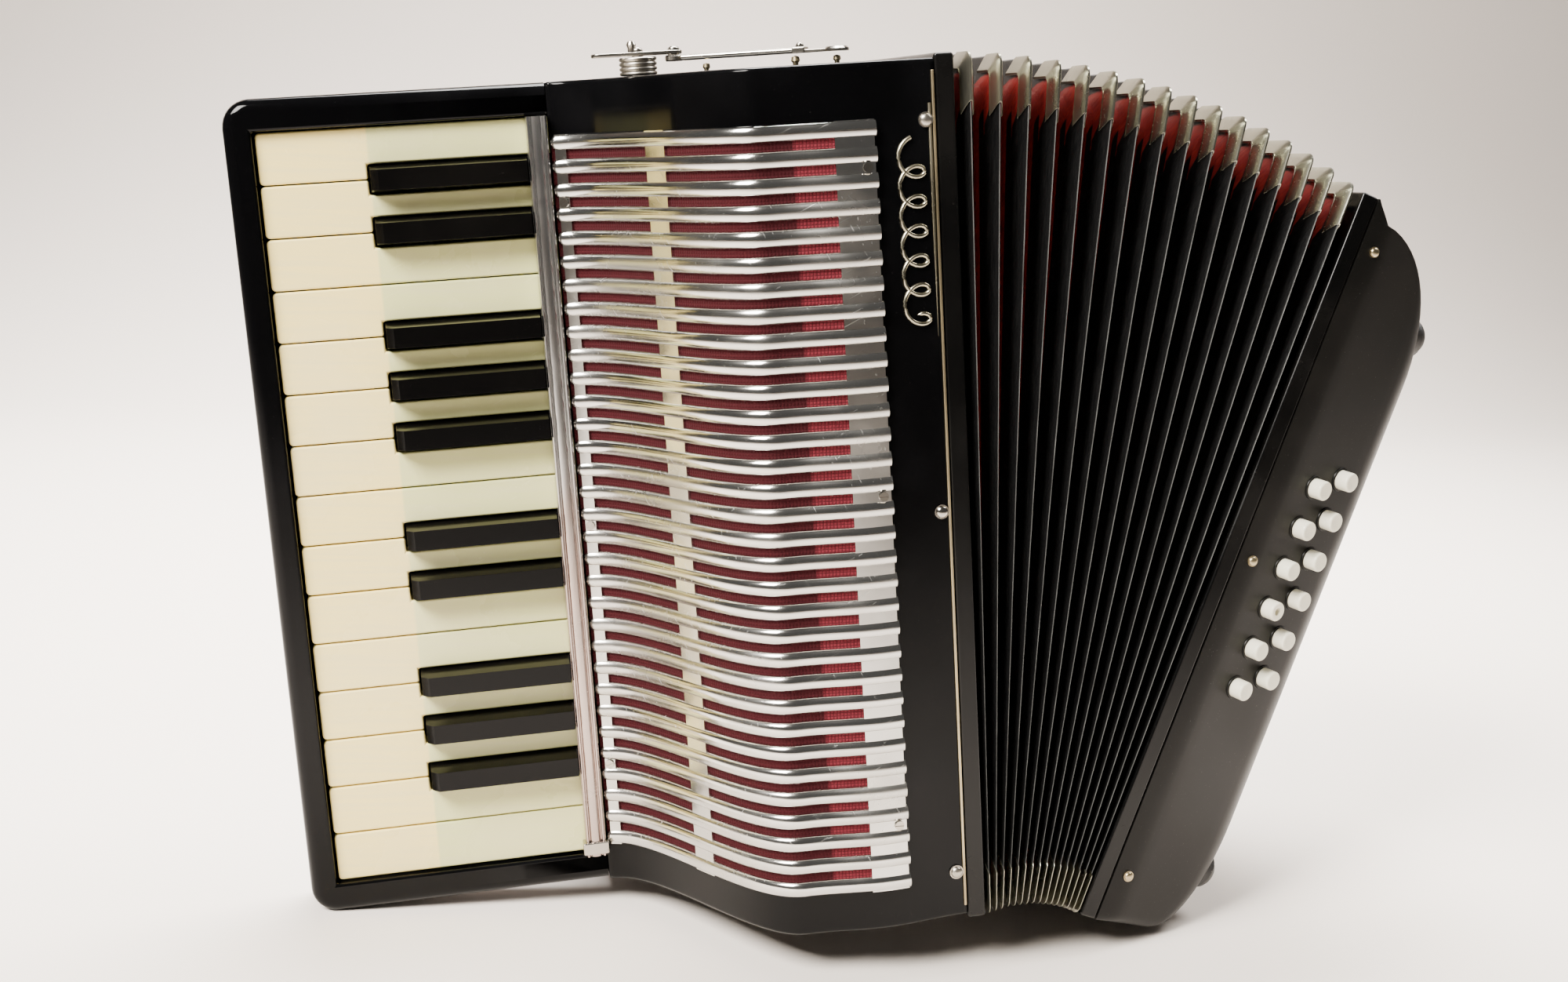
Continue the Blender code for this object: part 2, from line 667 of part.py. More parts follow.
def make_bellows(treble):
    """The folded bellows as one ring-shaped skin, lofted through every crest and valley."""
    stations = [i / (2 * FOLDS) for i in range(2 * FOLDS + 1)]
    outer = [bellows_ring(s, 0.0 if i % 2 else FOLD_DEPTH) for i, s in enumerate(stations)]
    inner = [
        bellows_ring(s, FOLD_CARD + (0.0 if i % 2 else FOLD_DEPTH)) for i, s in enumerate(stations)
    ]
    work = bmesh.new()
    rings = [[work.verts.new(p) for p in ring] for ring in outer + inner[::-1]]
    count = len(rings[0])
    for k, (here, there) in enumerate(zip(rings, rings[1:] + rings[:1])):
        near, far = (here, there) if k < len(outer) else (there, here)
        for i in range(count):
            j = (i + 1) % count
            # the same diagonal outside and inside, so that the thin walls never cross
            work.faces.new((near[i], far[i], far[j]))
            work.faces.new((near[i], far[j], near[j]))
    bmesh.ops.recalc_face_normals(work, faces=work.faces)
    mesh = bpy.data.meshes.new("bellows")
    work.to_mesh(mesh)
    work.free()
    add_object("bellows", mesh, BELLOWS_CLOTH, treble)


def bass_plan():
    """The bass box's plan outline, anticlockwise: flat by the frame, slanted, then a shoulder."""
    start = FRAME_THICKNESS + GAP
    slant = math.radians(BASS_SLANT_DEG)
    centre_x = BASS_OUTER - BASS_SHOULDER
    rise = (centre_x - BASS_FRONT_FLAT) * math.tan(slant) + BASS_SHOULDER / math.cos(slant)
    centre = (centre_x, BASS_FRONT_SET + rise)
    shoulder = (BASS_SHOULDER, BASS_SHOULDER)
    points = [(start, 0.0), (BASS_FRONT_FLAT, BASS_FRONT_SET)]
    points += arc(centre, shoulder, -90 + BASS_SLANT_DEG, 0, 6)
    back = (BASS_OUTER - BASS_BACK_ROUND, BASS_DEPTH - BASS_BACK_ROUND)
    points += arc(back, (BASS_BACK_ROUND, BASS_BACK_ROUND), 0, 90, 4)
    points += [(start, BASS_DEPTH)]
    return points


def bass_front(along):
    """A point on the bass box's slanted front, along its X, and the outward normal there."""
    slant = math.radians(BASS_SLANT_DEG)
    y = BASS_FRONT_SET + max(0.0, along - BASS_FRONT_FLAT) * math.tan(slant)
    return Vector((along, y, 0)), Vector((math.sin(slant), -math.cos(slant), 0))


def bass_side():
    """The bass box's outline seen from the front, anticlockwise, in X and Z."""
    start = FRAME_THICKNESS + GAP
    low_x, low_z = BASS_BOTTOM_ROUND
    top_x, top_z = BASS_TOP_ROUND
    points = [(start, 0.0)]
    centre = (BASS_OUTER - low_x, BASS_BOTTOM_SLOPE + low_z)
    points += arc(centre, (low_x, low_z), -90, 0, 8)
    centre = (BASS_OUTER - top_x, BASS_HEIGHT - BASS_TOP_SLOPE - top_z)
    points += arc(centre, (top_x, top_z), 0, 90, 8)
    points += [(start, BASS_HEIGHT)]
    return points


def crossed(plan, side, name, parent, finish=None):
    """The solid that has the plan outline from above and the side outline from the front."""
    plan_mesh = outline_mesh([plan], -0.01, BASS_HEIGHT + 0.01)
    depth_mesh = moved(outline_mesh([side], -BASS_DEPTH - 0.01, 0.01), face_forward())
    tool = cutter(depth_mesh, parent)
    if finish:
        made = add_object(name, plan_mesh, finish, parent, smooth=True)
    else:
        made = cutter(plan_mesh, parent)
    boolean(made, tool, "INTERSECT")
    return made


def make_bass_case(bass):
    """The satin black bass box, open to the bellows, with holes for the buttons."""
    case = crossed(bass_plan(), bass_side(), "bass_case", bass, SATIN_BLACK)
    near = FRAME_THICKNESS + 2 * BASS_WALL
    inner_plan = offset_outline(bass_plan(), BASS_WALL)
    inner_side = offset_outline(bass_side(), BASS_WALL)
    open_plan = [(x - 0.02 if x < near else x, y) for x, y in inner_plan]
    open_side = [(x - 0.02 if x < near else x, z) for x, z in inner_side]
    boolean(case, crossed(open_plan, open_side, "cavity", bass))
    holes = bmesh.new()
    for matrix in button_matrices():
        bore = cylinder_mesh(BUTTON_RADIUS + BUTTON_CLEARANCE, -0.02, 0.02, 12)
        bore.transform(matrix)
        holes.from_mesh(bore)
    mesh = bpy.data.meshes.new("button_holes")
    holes.to_mesh(mesh)
    holes.free()
    boolean(case, cutter(mesh, bass))
    air = cylinder_mesh(AIR_RADIUS + BUTTON_CLEARANCE, -0.02, 0.02, 14)
    boolean(case, cutter(moved(air, air_matrix()), bass))


def button_matrices():
    """Frames of the twelve bass buttons: Z out of the box, origin on its slanted front."""
    frames = []
    for row in range(BUTTON_ROWS):
        for column, along in enumerate(BUTTON_COLUMNS):
            point, normal = bass_front(along)
            outer_row = column == len(BUTTON_COLUMNS) - 1
            point.z = BUTTON_TOP - row * BUTTON_PITCH - (0.0 if outer_row else BUTTON_STAGGER)
            turn = Vector((0, 0, 1)).rotation_difference(normal).to_matrix().to_4x4()
            frames.append(Matrix.Translation(point) @ turn)
    return frames


def air_matrix():
    """The air button's frame: Z out of the box's outer face."""
    y, z = AIR_PLACE
    turn = Matrix.Rotation(math.radians(90), 4, "Y")
    return Matrix.Translation((BASS_OUTER, y, z)) @ turn


def make_buttons(bass):
    """Twelve bass buttons and the air button, each with a stem inside the box."""
    for number, matrix in enumerate(button_matrices(), start=1):
        stem = cylinder_mesh(BUTTON_RADIUS, BUTTON_OUT - BUTTON_LENGTH, BUTTON_OUT, 12)
        name = f"bass_button_{number:02d}"
        add_object(name, stem, IVORY, bass, matrix, smooth=True)
    stem = cylinder_mesh(AIR_RADIUS, AIR_OUT - BUTTON_LENGTH, AIR_OUT, 14)
    add_object("air_button", stem, IVORY, bass, air_matrix(), smooth=True)


def make_strap(bass):
    """The leather hand strap, bowed off the outer face, and its thumbwheel."""
    low, high = STRAP_ENDS
    base = BASS_OUTER + GAP
    count = 12
    inner = []
    for i in range(count + 1):
        share = i / count
        bow = STRAP_BOW * math.sin(math.pi * share) ** 0.8
        inner.append((base + bow, low + (high - low) * share))
    lap = [(base, low - STRAP_LAP)] + inner + [(base, high + STRAP_LAP)]
    outer = [(x + STRAP_THICKNESS, z) for x, z in lap]
    outline = lap[::-1] + outer
    half = STRAP_WIDTH / 2
    band = outline_mesh([outline], -STRAP_CENTRE - half, -STRAP_CENTRE + half)
    add_object("hand_strap", moved(band, face_forward()), LEATHER, bass, smooth=True)
    wheel_z = high + STRAP_LAP + GAP + WHEEL_RADIUS
    wheel = cylinder_mesh(WHEEL_RADIUS, -WHEEL_WIDTH / 2, WHEEL_WIDTH / 2, 20)
    wheel_x = BASS_OUTER - WHEEL_SUNK * WHEEL_RADIUS
    place = Matrix.Translation((wheel_x, STRAP_CENTRE, wheel_z))
    place = place @ Matrix.Rotation(math.radians(90), 4, "X")
    add_object("strap_wheel", wheel, STEEL, bass, place, smooth=True)
    slot = WHEEL_RADIUS + 2 * BUTTON_CLEARANCE
    half_slot = WHEEL_WIDTH / 2 + BUTTON_CLEARANCE
    low_corner = (wheel_x - slot, STRAP_CENTRE - half_slot, wheel_z - slot)
    high_corner = (wheel_x + 2 * slot, STRAP_CENTRE + half_slot, wheel_z + slot)
    boolean(bpy.data.objects["bass_case"], cutter(box_mesh(low_corner, high_corner), bass))


def make_clasp(treble):
    """The bellows clasp laid along the top: ribbed knob, lever and twin-rod link."""
    ribs = [(0.0, KNOB_HEIGHT)]
    for i in range(KNOB_RIBS):
        step = KNOB_HEIGHT - GAP
        z = KNOB_HEIGHT - i * step / KNOB_RIBS
        ribs += [(KNOB_RADIUS, z), (KNOB_RADIUS, z - KNOB_RIB_SHARE * step / KNOB_RIBS)]
        ribs += [(KNOB_NECK * KNOB_RADIUS, z - KNOB_RIB_SHARE * step / KNOB_RIBS)]
        ribs += [(KNOB_NECK * KNOB_RADIUS, z - step / KNOB_RIBS)]
    ribs += [(0.0, GAP)]
    place = Matrix.Translation((CLASP_X, CLASP_Y, HEIGHT))
    add_object("clasp_knob", turned_mesh(ribs, 20), CHROME, treble, place, smooth=True)
    back, ahead = LEVER_REACH
    lever_low = KNOB_HEIGHT + GAP
    half = LEVER_WIDTH / 2
    outline = arc((ahead, 0), (half, half), -90, 90, 5) + arc((-back, 0), (half, half), 90, 270, 5)
    lever = outline_mesh([outline], lever_low, lever_low + LEVER_THICKNESS)
    add_object("clasp_lever", lever, CHROME, treble, place)
    link_place = Matrix.Translation((CLASP_X + ahead, CLASP_Y, HEIGHT))
    link_place = link_place @ Matrix.Rotation(math.radians(LINK_SWING_DEG), 4, "Z")
    link = link_mesh(KNOB_HEIGHT - 2 * LINK_ROD_RADIUS)
    add_object("clasp_link", link, CHROME, treble, link_place)


def link_mesh(low):
    """The link: an eye, a slotted bar of two rods and a round end plate, flat from low upwards."""
    half = LINK_ROD_SPREAD / 2 + LINK_ROD_RADIUS
    start, stop = 1.2 * LINK_EYE, LINK_LENGTH - 1.2 * LINK_END
    outline = arc((0, 0), (LINK_EYE, LINK_EYE), 60, 300, 8)
    outline += [(start, -half), (stop, -half)]
    outline += arc((LINK_LENGTH, 0), (LINK_END, LINK_END), -135, 135, 8)
    outline += [(stop, half), (start, half)]
    inner = half - 2 * LINK_ROD_RADIUS
    start, stop = 2 * LINK_EYE, LINK_LENGTH - 2 * LINK_END
    slot = [(start, -inner), (stop, -inner), (stop, inner), (start, inner)]
    return outline_mesh([outline, slot], low, low + 2 * LINK_ROD_RADIUS)


def make_brackets(treble):
    """Two slotted shoulder-strap brackets on the back of the treble body."""
    heights = {"upper": HEIGHT - BRACKET_INSET, "lower": BRACKET_INSET}
    x = (BODY_LEFT + BODY_RIGHT) / 2
    for name, z in heights.items():
        half = BRACKET_WIDTH / 2
        outer = rounded_box(-half, 0, half, BRACKET_HEIGHT, BRACKET_CORNERS[0])
        edge = BRACKET_SLOT
        inner = rounded_box(-half + edge, edge, half - edge, BRACKET_HEIGHT - edge, BRACKET_CORNERS[1], 2)
        mesh = outline_mesh([outer, inner], -BRACKET_THICKNESS / 2, BRACKET_THICKNESS / 2)
        place = Matrix.Translation((x, BODY_BACK + GAP, z))
        add_object(f"strap_bracket_{name}", mesh, CHROME, treble, place)


def make_frames(treble, bass):
    """The two bellows frames."""
    low, high = -FRAME_LIP, HEIGHT + FRAME_LIP
    near = frame_mesh(FRONT, low, BODY_BACK, high, FRAME_LEFT, FRAME_RIGHT)
    add_object("treble_bellows_frame", near, FRAME_BLACK, treble)
    far = frame_mesh(0.0, 0.0, BASS_DEPTH, BASS_HEIGHT, 0.0, FRAME_THICKNESS)
    add_object("bass_bellows_frame", far, FRAME_BLACK, bass)


def stance_tilt():
    """The tilt that puts the tray's lower corner and the bass box on one floor."""
    centre = (TRAY_CORNER - RIM - KEY_END_GAP, TRAY_CORNER)
    tray = [(x, 0.0, z) for x, z in arc(centre, (TRAY_CORNER, TRAY_CORNER), 180, 270, 8)]
    place = bass_matrix()
    box = [place @ Vector((x, y, z)) for x, z in bass_side() for y in (0.0, BASS_DEPTH)]

    def lowest(points, tilt):
        return min(p[2] * math.cos(tilt) + p[0] * math.sin(tilt) for p in points)

    low, high = 0.0, math.radians(15)
    for _ in range(40):
        middle = (low + high) / 2
        if lowest(box, middle) < lowest(tray, middle):
            low = middle
        else:
            high = middle
    return low


def settle(stance):
    """Moves the whole instrument so that its box stands centred on the origin."""
    bpy.context.view_layer.update()
    graph = bpy.context.evaluated_depsgraph_get()
    points = []
    for part in bpy.data.collections[PART].objects:
        shown = part.evaluated_get(graph)
        if part.type == "MESH":
            points += [shown.matrix_world @ v.co for v in shown.data.vertices]
    cloud = np.array(points)
    low, high = cloud.min(axis=0), cloud.max(axis=0)
    stance.location = (-(low[0] + high[0]) / 2, -(low[1] + high[1]) / 2, -low[2])


def main():
    """Builds the accordion."""
    for old in list(bpy.data.objects):
        bpy.data.objects.remove(old)
    parts = new_collection(PART)
    new_collection("cutters")
    stance = bpy.data.objects.new("treble_frame_of_reference", None)
    bass = bpy.data.objects.new("bass_frame_of_reference", None)
    parts.objects.link(stance)
    parts.objects.link(bass)
    stance.rotation_euler = (0.0, -stance_tilt(), 0.0)
    bass.parent = stance
    bass.matrix_local = bass_matrix()
    make_treble_body(stance)
    make_grille(stance)
    make_tray(stance)
    make_rail_and_rod(stance)
    for index in range(1, WHITE_COUNT + 1):
        make_white_key(index, stance)
    for index, white in enumerate(WHITES_BELOW_BLACKS, start=1):
        make_black_key(index, white, stance)
    make_frames(stance, bass)
    make_bellows(stance)
    make_bass_case(bass)
    make_buttons(bass)
    make_strap(bass)
    make_clasp(stance)
    block_low = (*TREBLE_REEDS_START, BODY_END_WALL + REED_SIDE_CLEARANCE)
    block_high = (BODY_RIGHT - BODY_WALL, BODY_BACK - BODY_WALL - GAP, HEIGHT - block_low[2])
    make_reed_block("treble_reed_block", block_low, block_high, stance)
    out, top = BASS_REEDS_HIGH
    block_high = (out, BASS_DEPTH - BASS_WALL - GAP, top)
    make_reed_block("bass_reed_block", BASS_REEDS_LOW, block_high, bass)
    make_brackets(stance)
    settle(stance)


main()
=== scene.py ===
"""Looks of a small black piano accordion standing on its end with its bellows fanned open."""

import json
import logging
import math
from dataclasses import dataclass, field
from enum import Enum
from typing import Callable, Iterable, Optional, Sequence

import bmesh
import bpy
from mathutils import Matrix, Vector
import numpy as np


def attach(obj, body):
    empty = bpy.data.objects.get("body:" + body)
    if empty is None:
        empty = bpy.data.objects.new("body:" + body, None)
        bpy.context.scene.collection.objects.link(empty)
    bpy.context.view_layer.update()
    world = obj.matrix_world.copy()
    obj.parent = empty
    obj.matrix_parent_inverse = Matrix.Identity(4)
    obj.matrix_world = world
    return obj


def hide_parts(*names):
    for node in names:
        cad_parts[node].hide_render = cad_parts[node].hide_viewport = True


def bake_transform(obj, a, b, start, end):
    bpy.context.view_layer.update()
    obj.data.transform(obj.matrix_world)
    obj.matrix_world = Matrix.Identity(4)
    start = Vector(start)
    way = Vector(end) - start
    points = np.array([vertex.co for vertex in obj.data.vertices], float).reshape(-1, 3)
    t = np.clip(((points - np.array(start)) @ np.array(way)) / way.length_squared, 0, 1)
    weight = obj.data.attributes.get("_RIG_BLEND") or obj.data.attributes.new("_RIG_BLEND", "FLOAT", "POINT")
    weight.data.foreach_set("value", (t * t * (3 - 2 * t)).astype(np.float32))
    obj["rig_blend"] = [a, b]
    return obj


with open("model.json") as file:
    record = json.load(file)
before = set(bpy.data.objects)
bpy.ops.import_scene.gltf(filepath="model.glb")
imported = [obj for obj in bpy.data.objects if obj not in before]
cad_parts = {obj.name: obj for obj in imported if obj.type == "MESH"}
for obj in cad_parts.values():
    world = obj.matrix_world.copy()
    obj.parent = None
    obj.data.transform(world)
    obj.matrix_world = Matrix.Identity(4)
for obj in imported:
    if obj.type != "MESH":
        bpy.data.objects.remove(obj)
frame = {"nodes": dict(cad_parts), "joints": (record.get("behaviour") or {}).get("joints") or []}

log = logging.getLogger("accordion")
Point2 = tuple[float, float]
Colour = tuple[float, float, float]

# Sizes shared by several pieces, in metres, in the frame of the side they belong to.
GAP = 0.0003
WHITE_COUNT = 15
WHITE_PITCH = 0.019
WHITE_LENGTH = 0.0954
KEY_THICKNESS = 0.009
KEY_TAIL = 0.0135
BLACK_LENGTH = 0.0565
WHITES_BELOW_BLACKS = (1, 2, 4, 5, 6, 8, 9, 11, 12, 13)
PIVOT = Vector((0.1108, 0.0045, 0.0119))
HEIGHT = 0.3088
KEYS_BOTTOM = 0.0119
KEYS_TOP = 0.2969
BODY_LEFT = 0.104
BODY_RIGHT = 0.2297
BODY_BACK = 0.069
FRONT = -0.076
SWEEP = 0.066
CROWN = 0.003
RIM_RISE = 0.003
FRAME_RIGHT = 0.237
BASS_CORNER = Vector((0.2765, -0.066, -0.0112))
BASS_HEIGHT = 0.2915
BASS_DEPTH = 0.145
BASS_OUTER = 0.066
LIP = 0.0015
TREBLE_BOX = (FRONT, -LIP, BODY_BACK, HEIGHT + LIP)
FRAME_WIDTH = 0.013
BASS_FRAME_THICKNESS = 0.007

MERGE_DISTANCE = 1e-7
TINY = 1e-5
SHARP_EDGE = math.radians(40)


class Side(Enum):
    """The two sides of the instrument, by the name of the body each one is."""

    TREBLE = "treble"
    BASS = "bass"


# ---------------------------------------------------------------- shader trees


class Graph:
    """A node tree being wired."""

    def __init__(self, tree: bpy.types.NodeTree) -> None:
        """Keeps the tree."""
        self.tree = tree

    def add(self, kind: str, inputs: Optional[dict] = None, **settings: object) -> bpy.types.Node:
        """Adds a node.

        Args:
            kind: the node's type name.
            inputs: socket name or number to a value or to the socket that feeds it.
            settings: the node's own attributes.

        Returns:
            The node.
        """
        node = self.tree.nodes.new(kind)
        for name, value in settings.items():
            setattr(node, name, value)
        for key, value in (inputs or {}).items():
            socket = node.inputs[key]
            if isinstance(value, bpy.types.NodeSocket):
                self.tree.links.new(value, socket)
            else:
                socket.default_value = value
        return node

    def math(self, operation: str, *values: object, clamp: bool = False) -> bpy.types.NodeSocket:
        """Adds a Math node and returns its output."""
        node = self.add("ShaderNodeMath", dict(enumerate(values)), operation=operation)
        node.use_clamp = clamp
        return node.outputs[0]

    def noise(self, vector: object, scale: float, detail: float = 3.0) -> bpy.types.NodeSocket:
        """Adds a Noise Texture and returns its factor."""
        inputs = {"Vector": vector, "Scale": scale, "Detail": detail}
        return self.add("ShaderNodeTexNoise", inputs).outputs[0]

    def ramp(self, value: object, low: float, high: float) -> bpy.types.NodeSocket:
        """Maps low..high to 0..1 smoothly."""
        inputs = {"Value": value, "From Min": low, "From Max": high}
        node = self.add("ShaderNodeMapRange", inputs, interpolation_type="SMOOTHSTEP")
        return node.outputs["Result"]

    def mix(self, share: object, one: object, two: object) -> bpy.types.NodeSocket:
        """Mixes two colours, given as sockets or as red, green and blue."""
        node = self.add("ShaderNodeMix", data_type="RGBA")
        for number, value in ((0, share), (6, one), (7, two)):
            socket = node.inputs[number]
            if isinstance(value, bpy.types.NodeSocket):
                self.tree.links.new(value, socket)
            elif isinstance(value, tuple):
                socket.default_value = (*value, 1.0)
            else:
                socket.default_value = value
        return node.outputs[2]

    def scaled(self, vector: object, scale: Sequence[float]) -> bpy.types.NodeSocket:
        """Stretches a vector by three factors."""
        inputs = {"Vector": vector, "Scale": tuple(scale)}
        return self.add("ShaderNodeMapping", inputs).outputs["Vector"]

    def group(
        self, tree: bpy.types.NodeTree, vector: object, **numbers: float
    ) -> bpy.types.NodeOutputs:
        """Adds a node group fed by a vector and returns its outputs."""
        return self.add("ShaderNodeGroup", {"Vector": vector, **numbers}, node_tree=tree).outputs

    def attribute(self, name: str) -> bpy.types.NodeSocket:
        """Reads a number stored on the mesh."""
        return self.add("ShaderNodeAttribute", attribute_name=name).outputs["Fac"]

    def cloth_map(self) -> bpy.types.NodeSocket:
        """Reads the place on a sheet's own map."""
        return self.add("ShaderNodeUVMap", uv_map="cloth").outputs["UV"]

    def bump(self, height: object, strength: float, distance: float) -> bpy.types.NodeSocket:
        """Turns a height into a normal."""
        inputs = {"Height": height, "Strength": strength, "Distance": distance}
        return self.add("ShaderNodeBump", inputs).outputs["Normal"]


def shader_group(
    name: str, inputs: dict[str, float], outputs: Sequence[str], wire: Callable
) -> bpy.types.NodeTree:
    """Builds a shader node group once.

    Args:
        name: the group's name.
        inputs: names and default values of its number inputs, after a Vector.
        outputs: names of its number outputs.
        wire: a function of the graph and the entry node that returns the output sockets.

    Returns:
        The group.
    """
    found = bpy.data.node_groups.get(name)
    if found:
        return found
    tree = bpy.data.node_groups.new(name, "ShaderNodeTree")
    tree.interface.new_socket("Vector", in_out="INPUT", socket_type="NodeSocketVector")
    for key, value in inputs.items():
        socket = tree.interface.new_socket(key, in_out="INPUT", socket_type="NodeSocketFloat")
        socket.default_value = value
    for key in outputs:
        tree.interface.new_socket(key, in_out="OUTPUT", socket_type="NodeSocketFloat")
    graph = Graph(tree)
    entry = graph.add("NodeGroupInput")
    leave = graph.add("NodeGroupOutput")
    for key, socket in zip(outputs, wire(graph, entry)):
        tree.links.new(socket, leave.inputs[key])
    return tree


def wire_soiling(graph: Graph, entry: bpy.types.Node) -> list:
    """Broad patches of handling and a fine speck of dust."""
    broad = graph.noise(entry.outputs["Vector"], 22.0, 5.0)
    patches = graph.ramp(broad, 0.42, 0.72)
    fine = graph.noise(entry.outputs["Vector"], 1900.0, 2.0)
    specks = graph.ramp(fine, 0.70, 0.78)
    patches = graph.math("MULTIPLY", patches, entry.outputs["Patches"])
    specks = graph.math("MULTIPLY", specks, entry.outputs["Specks"])
    return [patches, specks]


def wire_scratches(graph: Graph, entry: bpy.types.Node) -> list:
    """Thin scratches in two slanting directions."""
    masks = []
    for angle in (0.5, -1.1):
        inputs = {"Vector": entry.outputs["Vector"], "Rotation": (0.3, angle, 0.2)}
        turned = graph.add("ShaderNodeMapping", inputs)
        long_way = graph.scaled(turned.outputs["Vector"], (1.0, 40.0, 40.0))
        streaks = graph.noise(long_way, 30.0, 2.0)
        masks.append(graph.ramp(streaks, 0.68, 0.74))
    both = graph.math("MAXIMUM", *masks)
    return [graph.math("MULTIPLY", both, entry.outputs["Amount"])]


def wire_weave(graph: Graph, entry: bpy.types.Node) -> list:
    """A plain weave: the height of its threads and the holes between them."""
    parts = graph.add("ShaderNodeSeparateXYZ", {0: entry.outputs["Vector"]})
    waves = []
    for axis in (0, 1):
        turns = graph.math("MULTIPLY", parts.outputs[axis], entry.outputs["Threads"])
        waves.append(graph.math("SINE", graph.math("MULTIPLY", turns, math.pi)))
    ups = [graph.math("ABSOLUTE", wave) for wave in waves]
    threads = graph.math("MINIMUM", *ups)
    holes = graph.ramp(threads, 0.55, 0.12)
    height = graph.math("MULTIPLY", *ups)
    return [height, holes]


def wire_grain(graph: Graph, entry: bpy.types.Node) -> list:
    """Pebbled grain, as on leathercloth."""
    inputs = {"Vector": entry.outputs["Vector"], "Scale": entry.outputs["Scale"]}
    cells = graph.add("ShaderNodeTexVoronoi", inputs)
    pebbles = graph.ramp(cells.outputs["Distance"], 0.75, 0.1)
    folds = graph.noise(entry.outputs["Vector"], 140.0, 4.0)
    return [graph.math("MULTIPLY_ADD", folds, 0.4, pebbles)]


def soiling() -> bpy.types.NodeTree:
    """The group of smudges and dust."""
    inputs = {"Patches": 1.0, "Specks": 1.0}
    return shader_group("soiling", inputs, ("Patches", "Specks"), wire_soiling)


def scratches() -> bpy.types.NodeTree:
    """The group of fine scratches."""
    return shader_group("scratches", {"Amount": 1.0}, ("Mask",), wire_scratches)


def weave() -> bpy.types.NodeTree:
    """The group of woven threads."""
    return shader_group("weave", {"Threads": 900.0}, ("Height", "Holes"), wire_weave)


def grain() -> bpy.types.NodeTree:
    """The group of pebbled grain."""
    return shader_group("grain", {"Scale": 1500.0}, ("Height",), wire_grain)


# ---------------------------------------------------------------- finishes


@dataclass(frozen=True)
class Finish:
    """A surface of one colour with smudges, dust and fine scratches over it."""

    name: str
    slot: str
    colour: Colour
    roughness: float
    metallic: float = 0.0
    worn: Colour = (0.05, 0.048, 0.045)
    worn_share: float = 0.3
    dust: float = 0.2
    scratch: float = 0.2
    spread: float = 0.15
    ripple: float = 0.0
    ripple_scale: float = 60.0
    shine: float = 0.5

    def material(self) -> bpy.types.Material:
        """Returns the material, made once."""
        found = bpy.data.materials.get(self.name)
        if found:
            return found
        made = bpy.data.materials.new(self.name)
        made.use_nodes = True
        graph = Graph(made.node_tree)
        shader = made.node_tree.nodes["Principled BSDF"]
        shader.inputs["Metallic"].default_value = self.metallic
        shader.inputs["Specular IOR Level"].default_value = self.shine
        made.diffuse_color = (*self.colour, 1.0)
        where = graph.add("ShaderNodeTexCoord").outputs["Object"]
        colour, roughness, normal = self.dress(graph, where)
        made.node_tree.links.new(colour, shader.inputs["Base Color"])
        made.node_tree.links.new(roughness, shader.inputs["Roughness"])
        if normal is not None:
            made.node_tree.links.new(normal, shader.inputs["Normal"])
        return made

    def masks(self, graph: Graph, where: object) -> tuple:
        """Returns the patches, the specks and the scratches."""
        dirt = graph.group(soiling(), where, Specks=self.dust)
        lines = graph.group(scratches(), where, Amount=self.scratch)
        return dirt["Patches"], dirt["Specks"], lines["Mask"]

    def base(self, graph: Graph, where: object) -> object:
        """The colour before wear, as a socket or as red, green and blue."""
        return self.colour

    def dress(self, graph: Graph, where: object) -> tuple:
        """Wires the finish.

        Args:
            graph: the material's graph.
            where: the object's own coordinates.

        Returns:
            Sockets for colour, roughness and normal, the last of which may be None.
        """
        patches, specks, lines = self.masks(graph, where)
        worn = graph.math("MULTIPLY", patches, self.worn_share)
        colour = graph.mix(worn, self.base(graph, where), self.worn)
        colour = graph.mix(specks, colour, (0.45, 0.43, 0.4))
        marks = graph.math("MAXIMUM", lines, specks)
        rough = graph.math("MULTIPLY_ADD", patches, self.spread, self.roughness)
        rough = graph.math("MULTIPLY_ADD", marks, 0.3, rough, clamp=True)
        return colour, rough, self.relief(graph, where, lines)

    def relief(self, graph: Graph, where: object, lines: object) -> object:
        """The bump: a slow ripple with the scratches in it."""
        wave = graph.noise(where, self.ripple_scale, 2.0)
        height = graph.math("MULTIPLY", wave, self.ripple)
        height = graph.math("MULTIPLY_ADD", lines, -0.02, height)
        return graph.bump(height, 0.35, 0.001)


@dataclass(frozen=True)
class IvoryKeys(Finish):
    """Ivory celluloid, warmer where the white keys are wide, with painted shade making them darker between
    the black keys.
    """

    rear: Colour = (0.62, 0.62, 0.27)

    def base(self, graph: Graph, where: object) -> object:
        """A front tone and a darker rear tone of painted shade, meeting in line with the black keys' front
        ends.
        """
        along = graph.attribute("along")
        edge = WHITE_LENGTH - BLACK_LENGTH
        # painted shade: the rear colour makes the keys darker where they lie between the raised black keys
        step = graph.ramp(along, edge - 0.0006, edge + 0.0006)
        colour = graph.mix(step, self.colour, self.rear)
        streaks = graph.noise(graph.scaled(where, (3.0, 60.0, 60.0)), 9.0, 4.0)
        faint = graph.math("MULTIPLY", graph.ramp(streaks, 0.35, 0.75), 0.22)
        return graph.mix(faint, colour, (0.62, 0.55, 0.37))


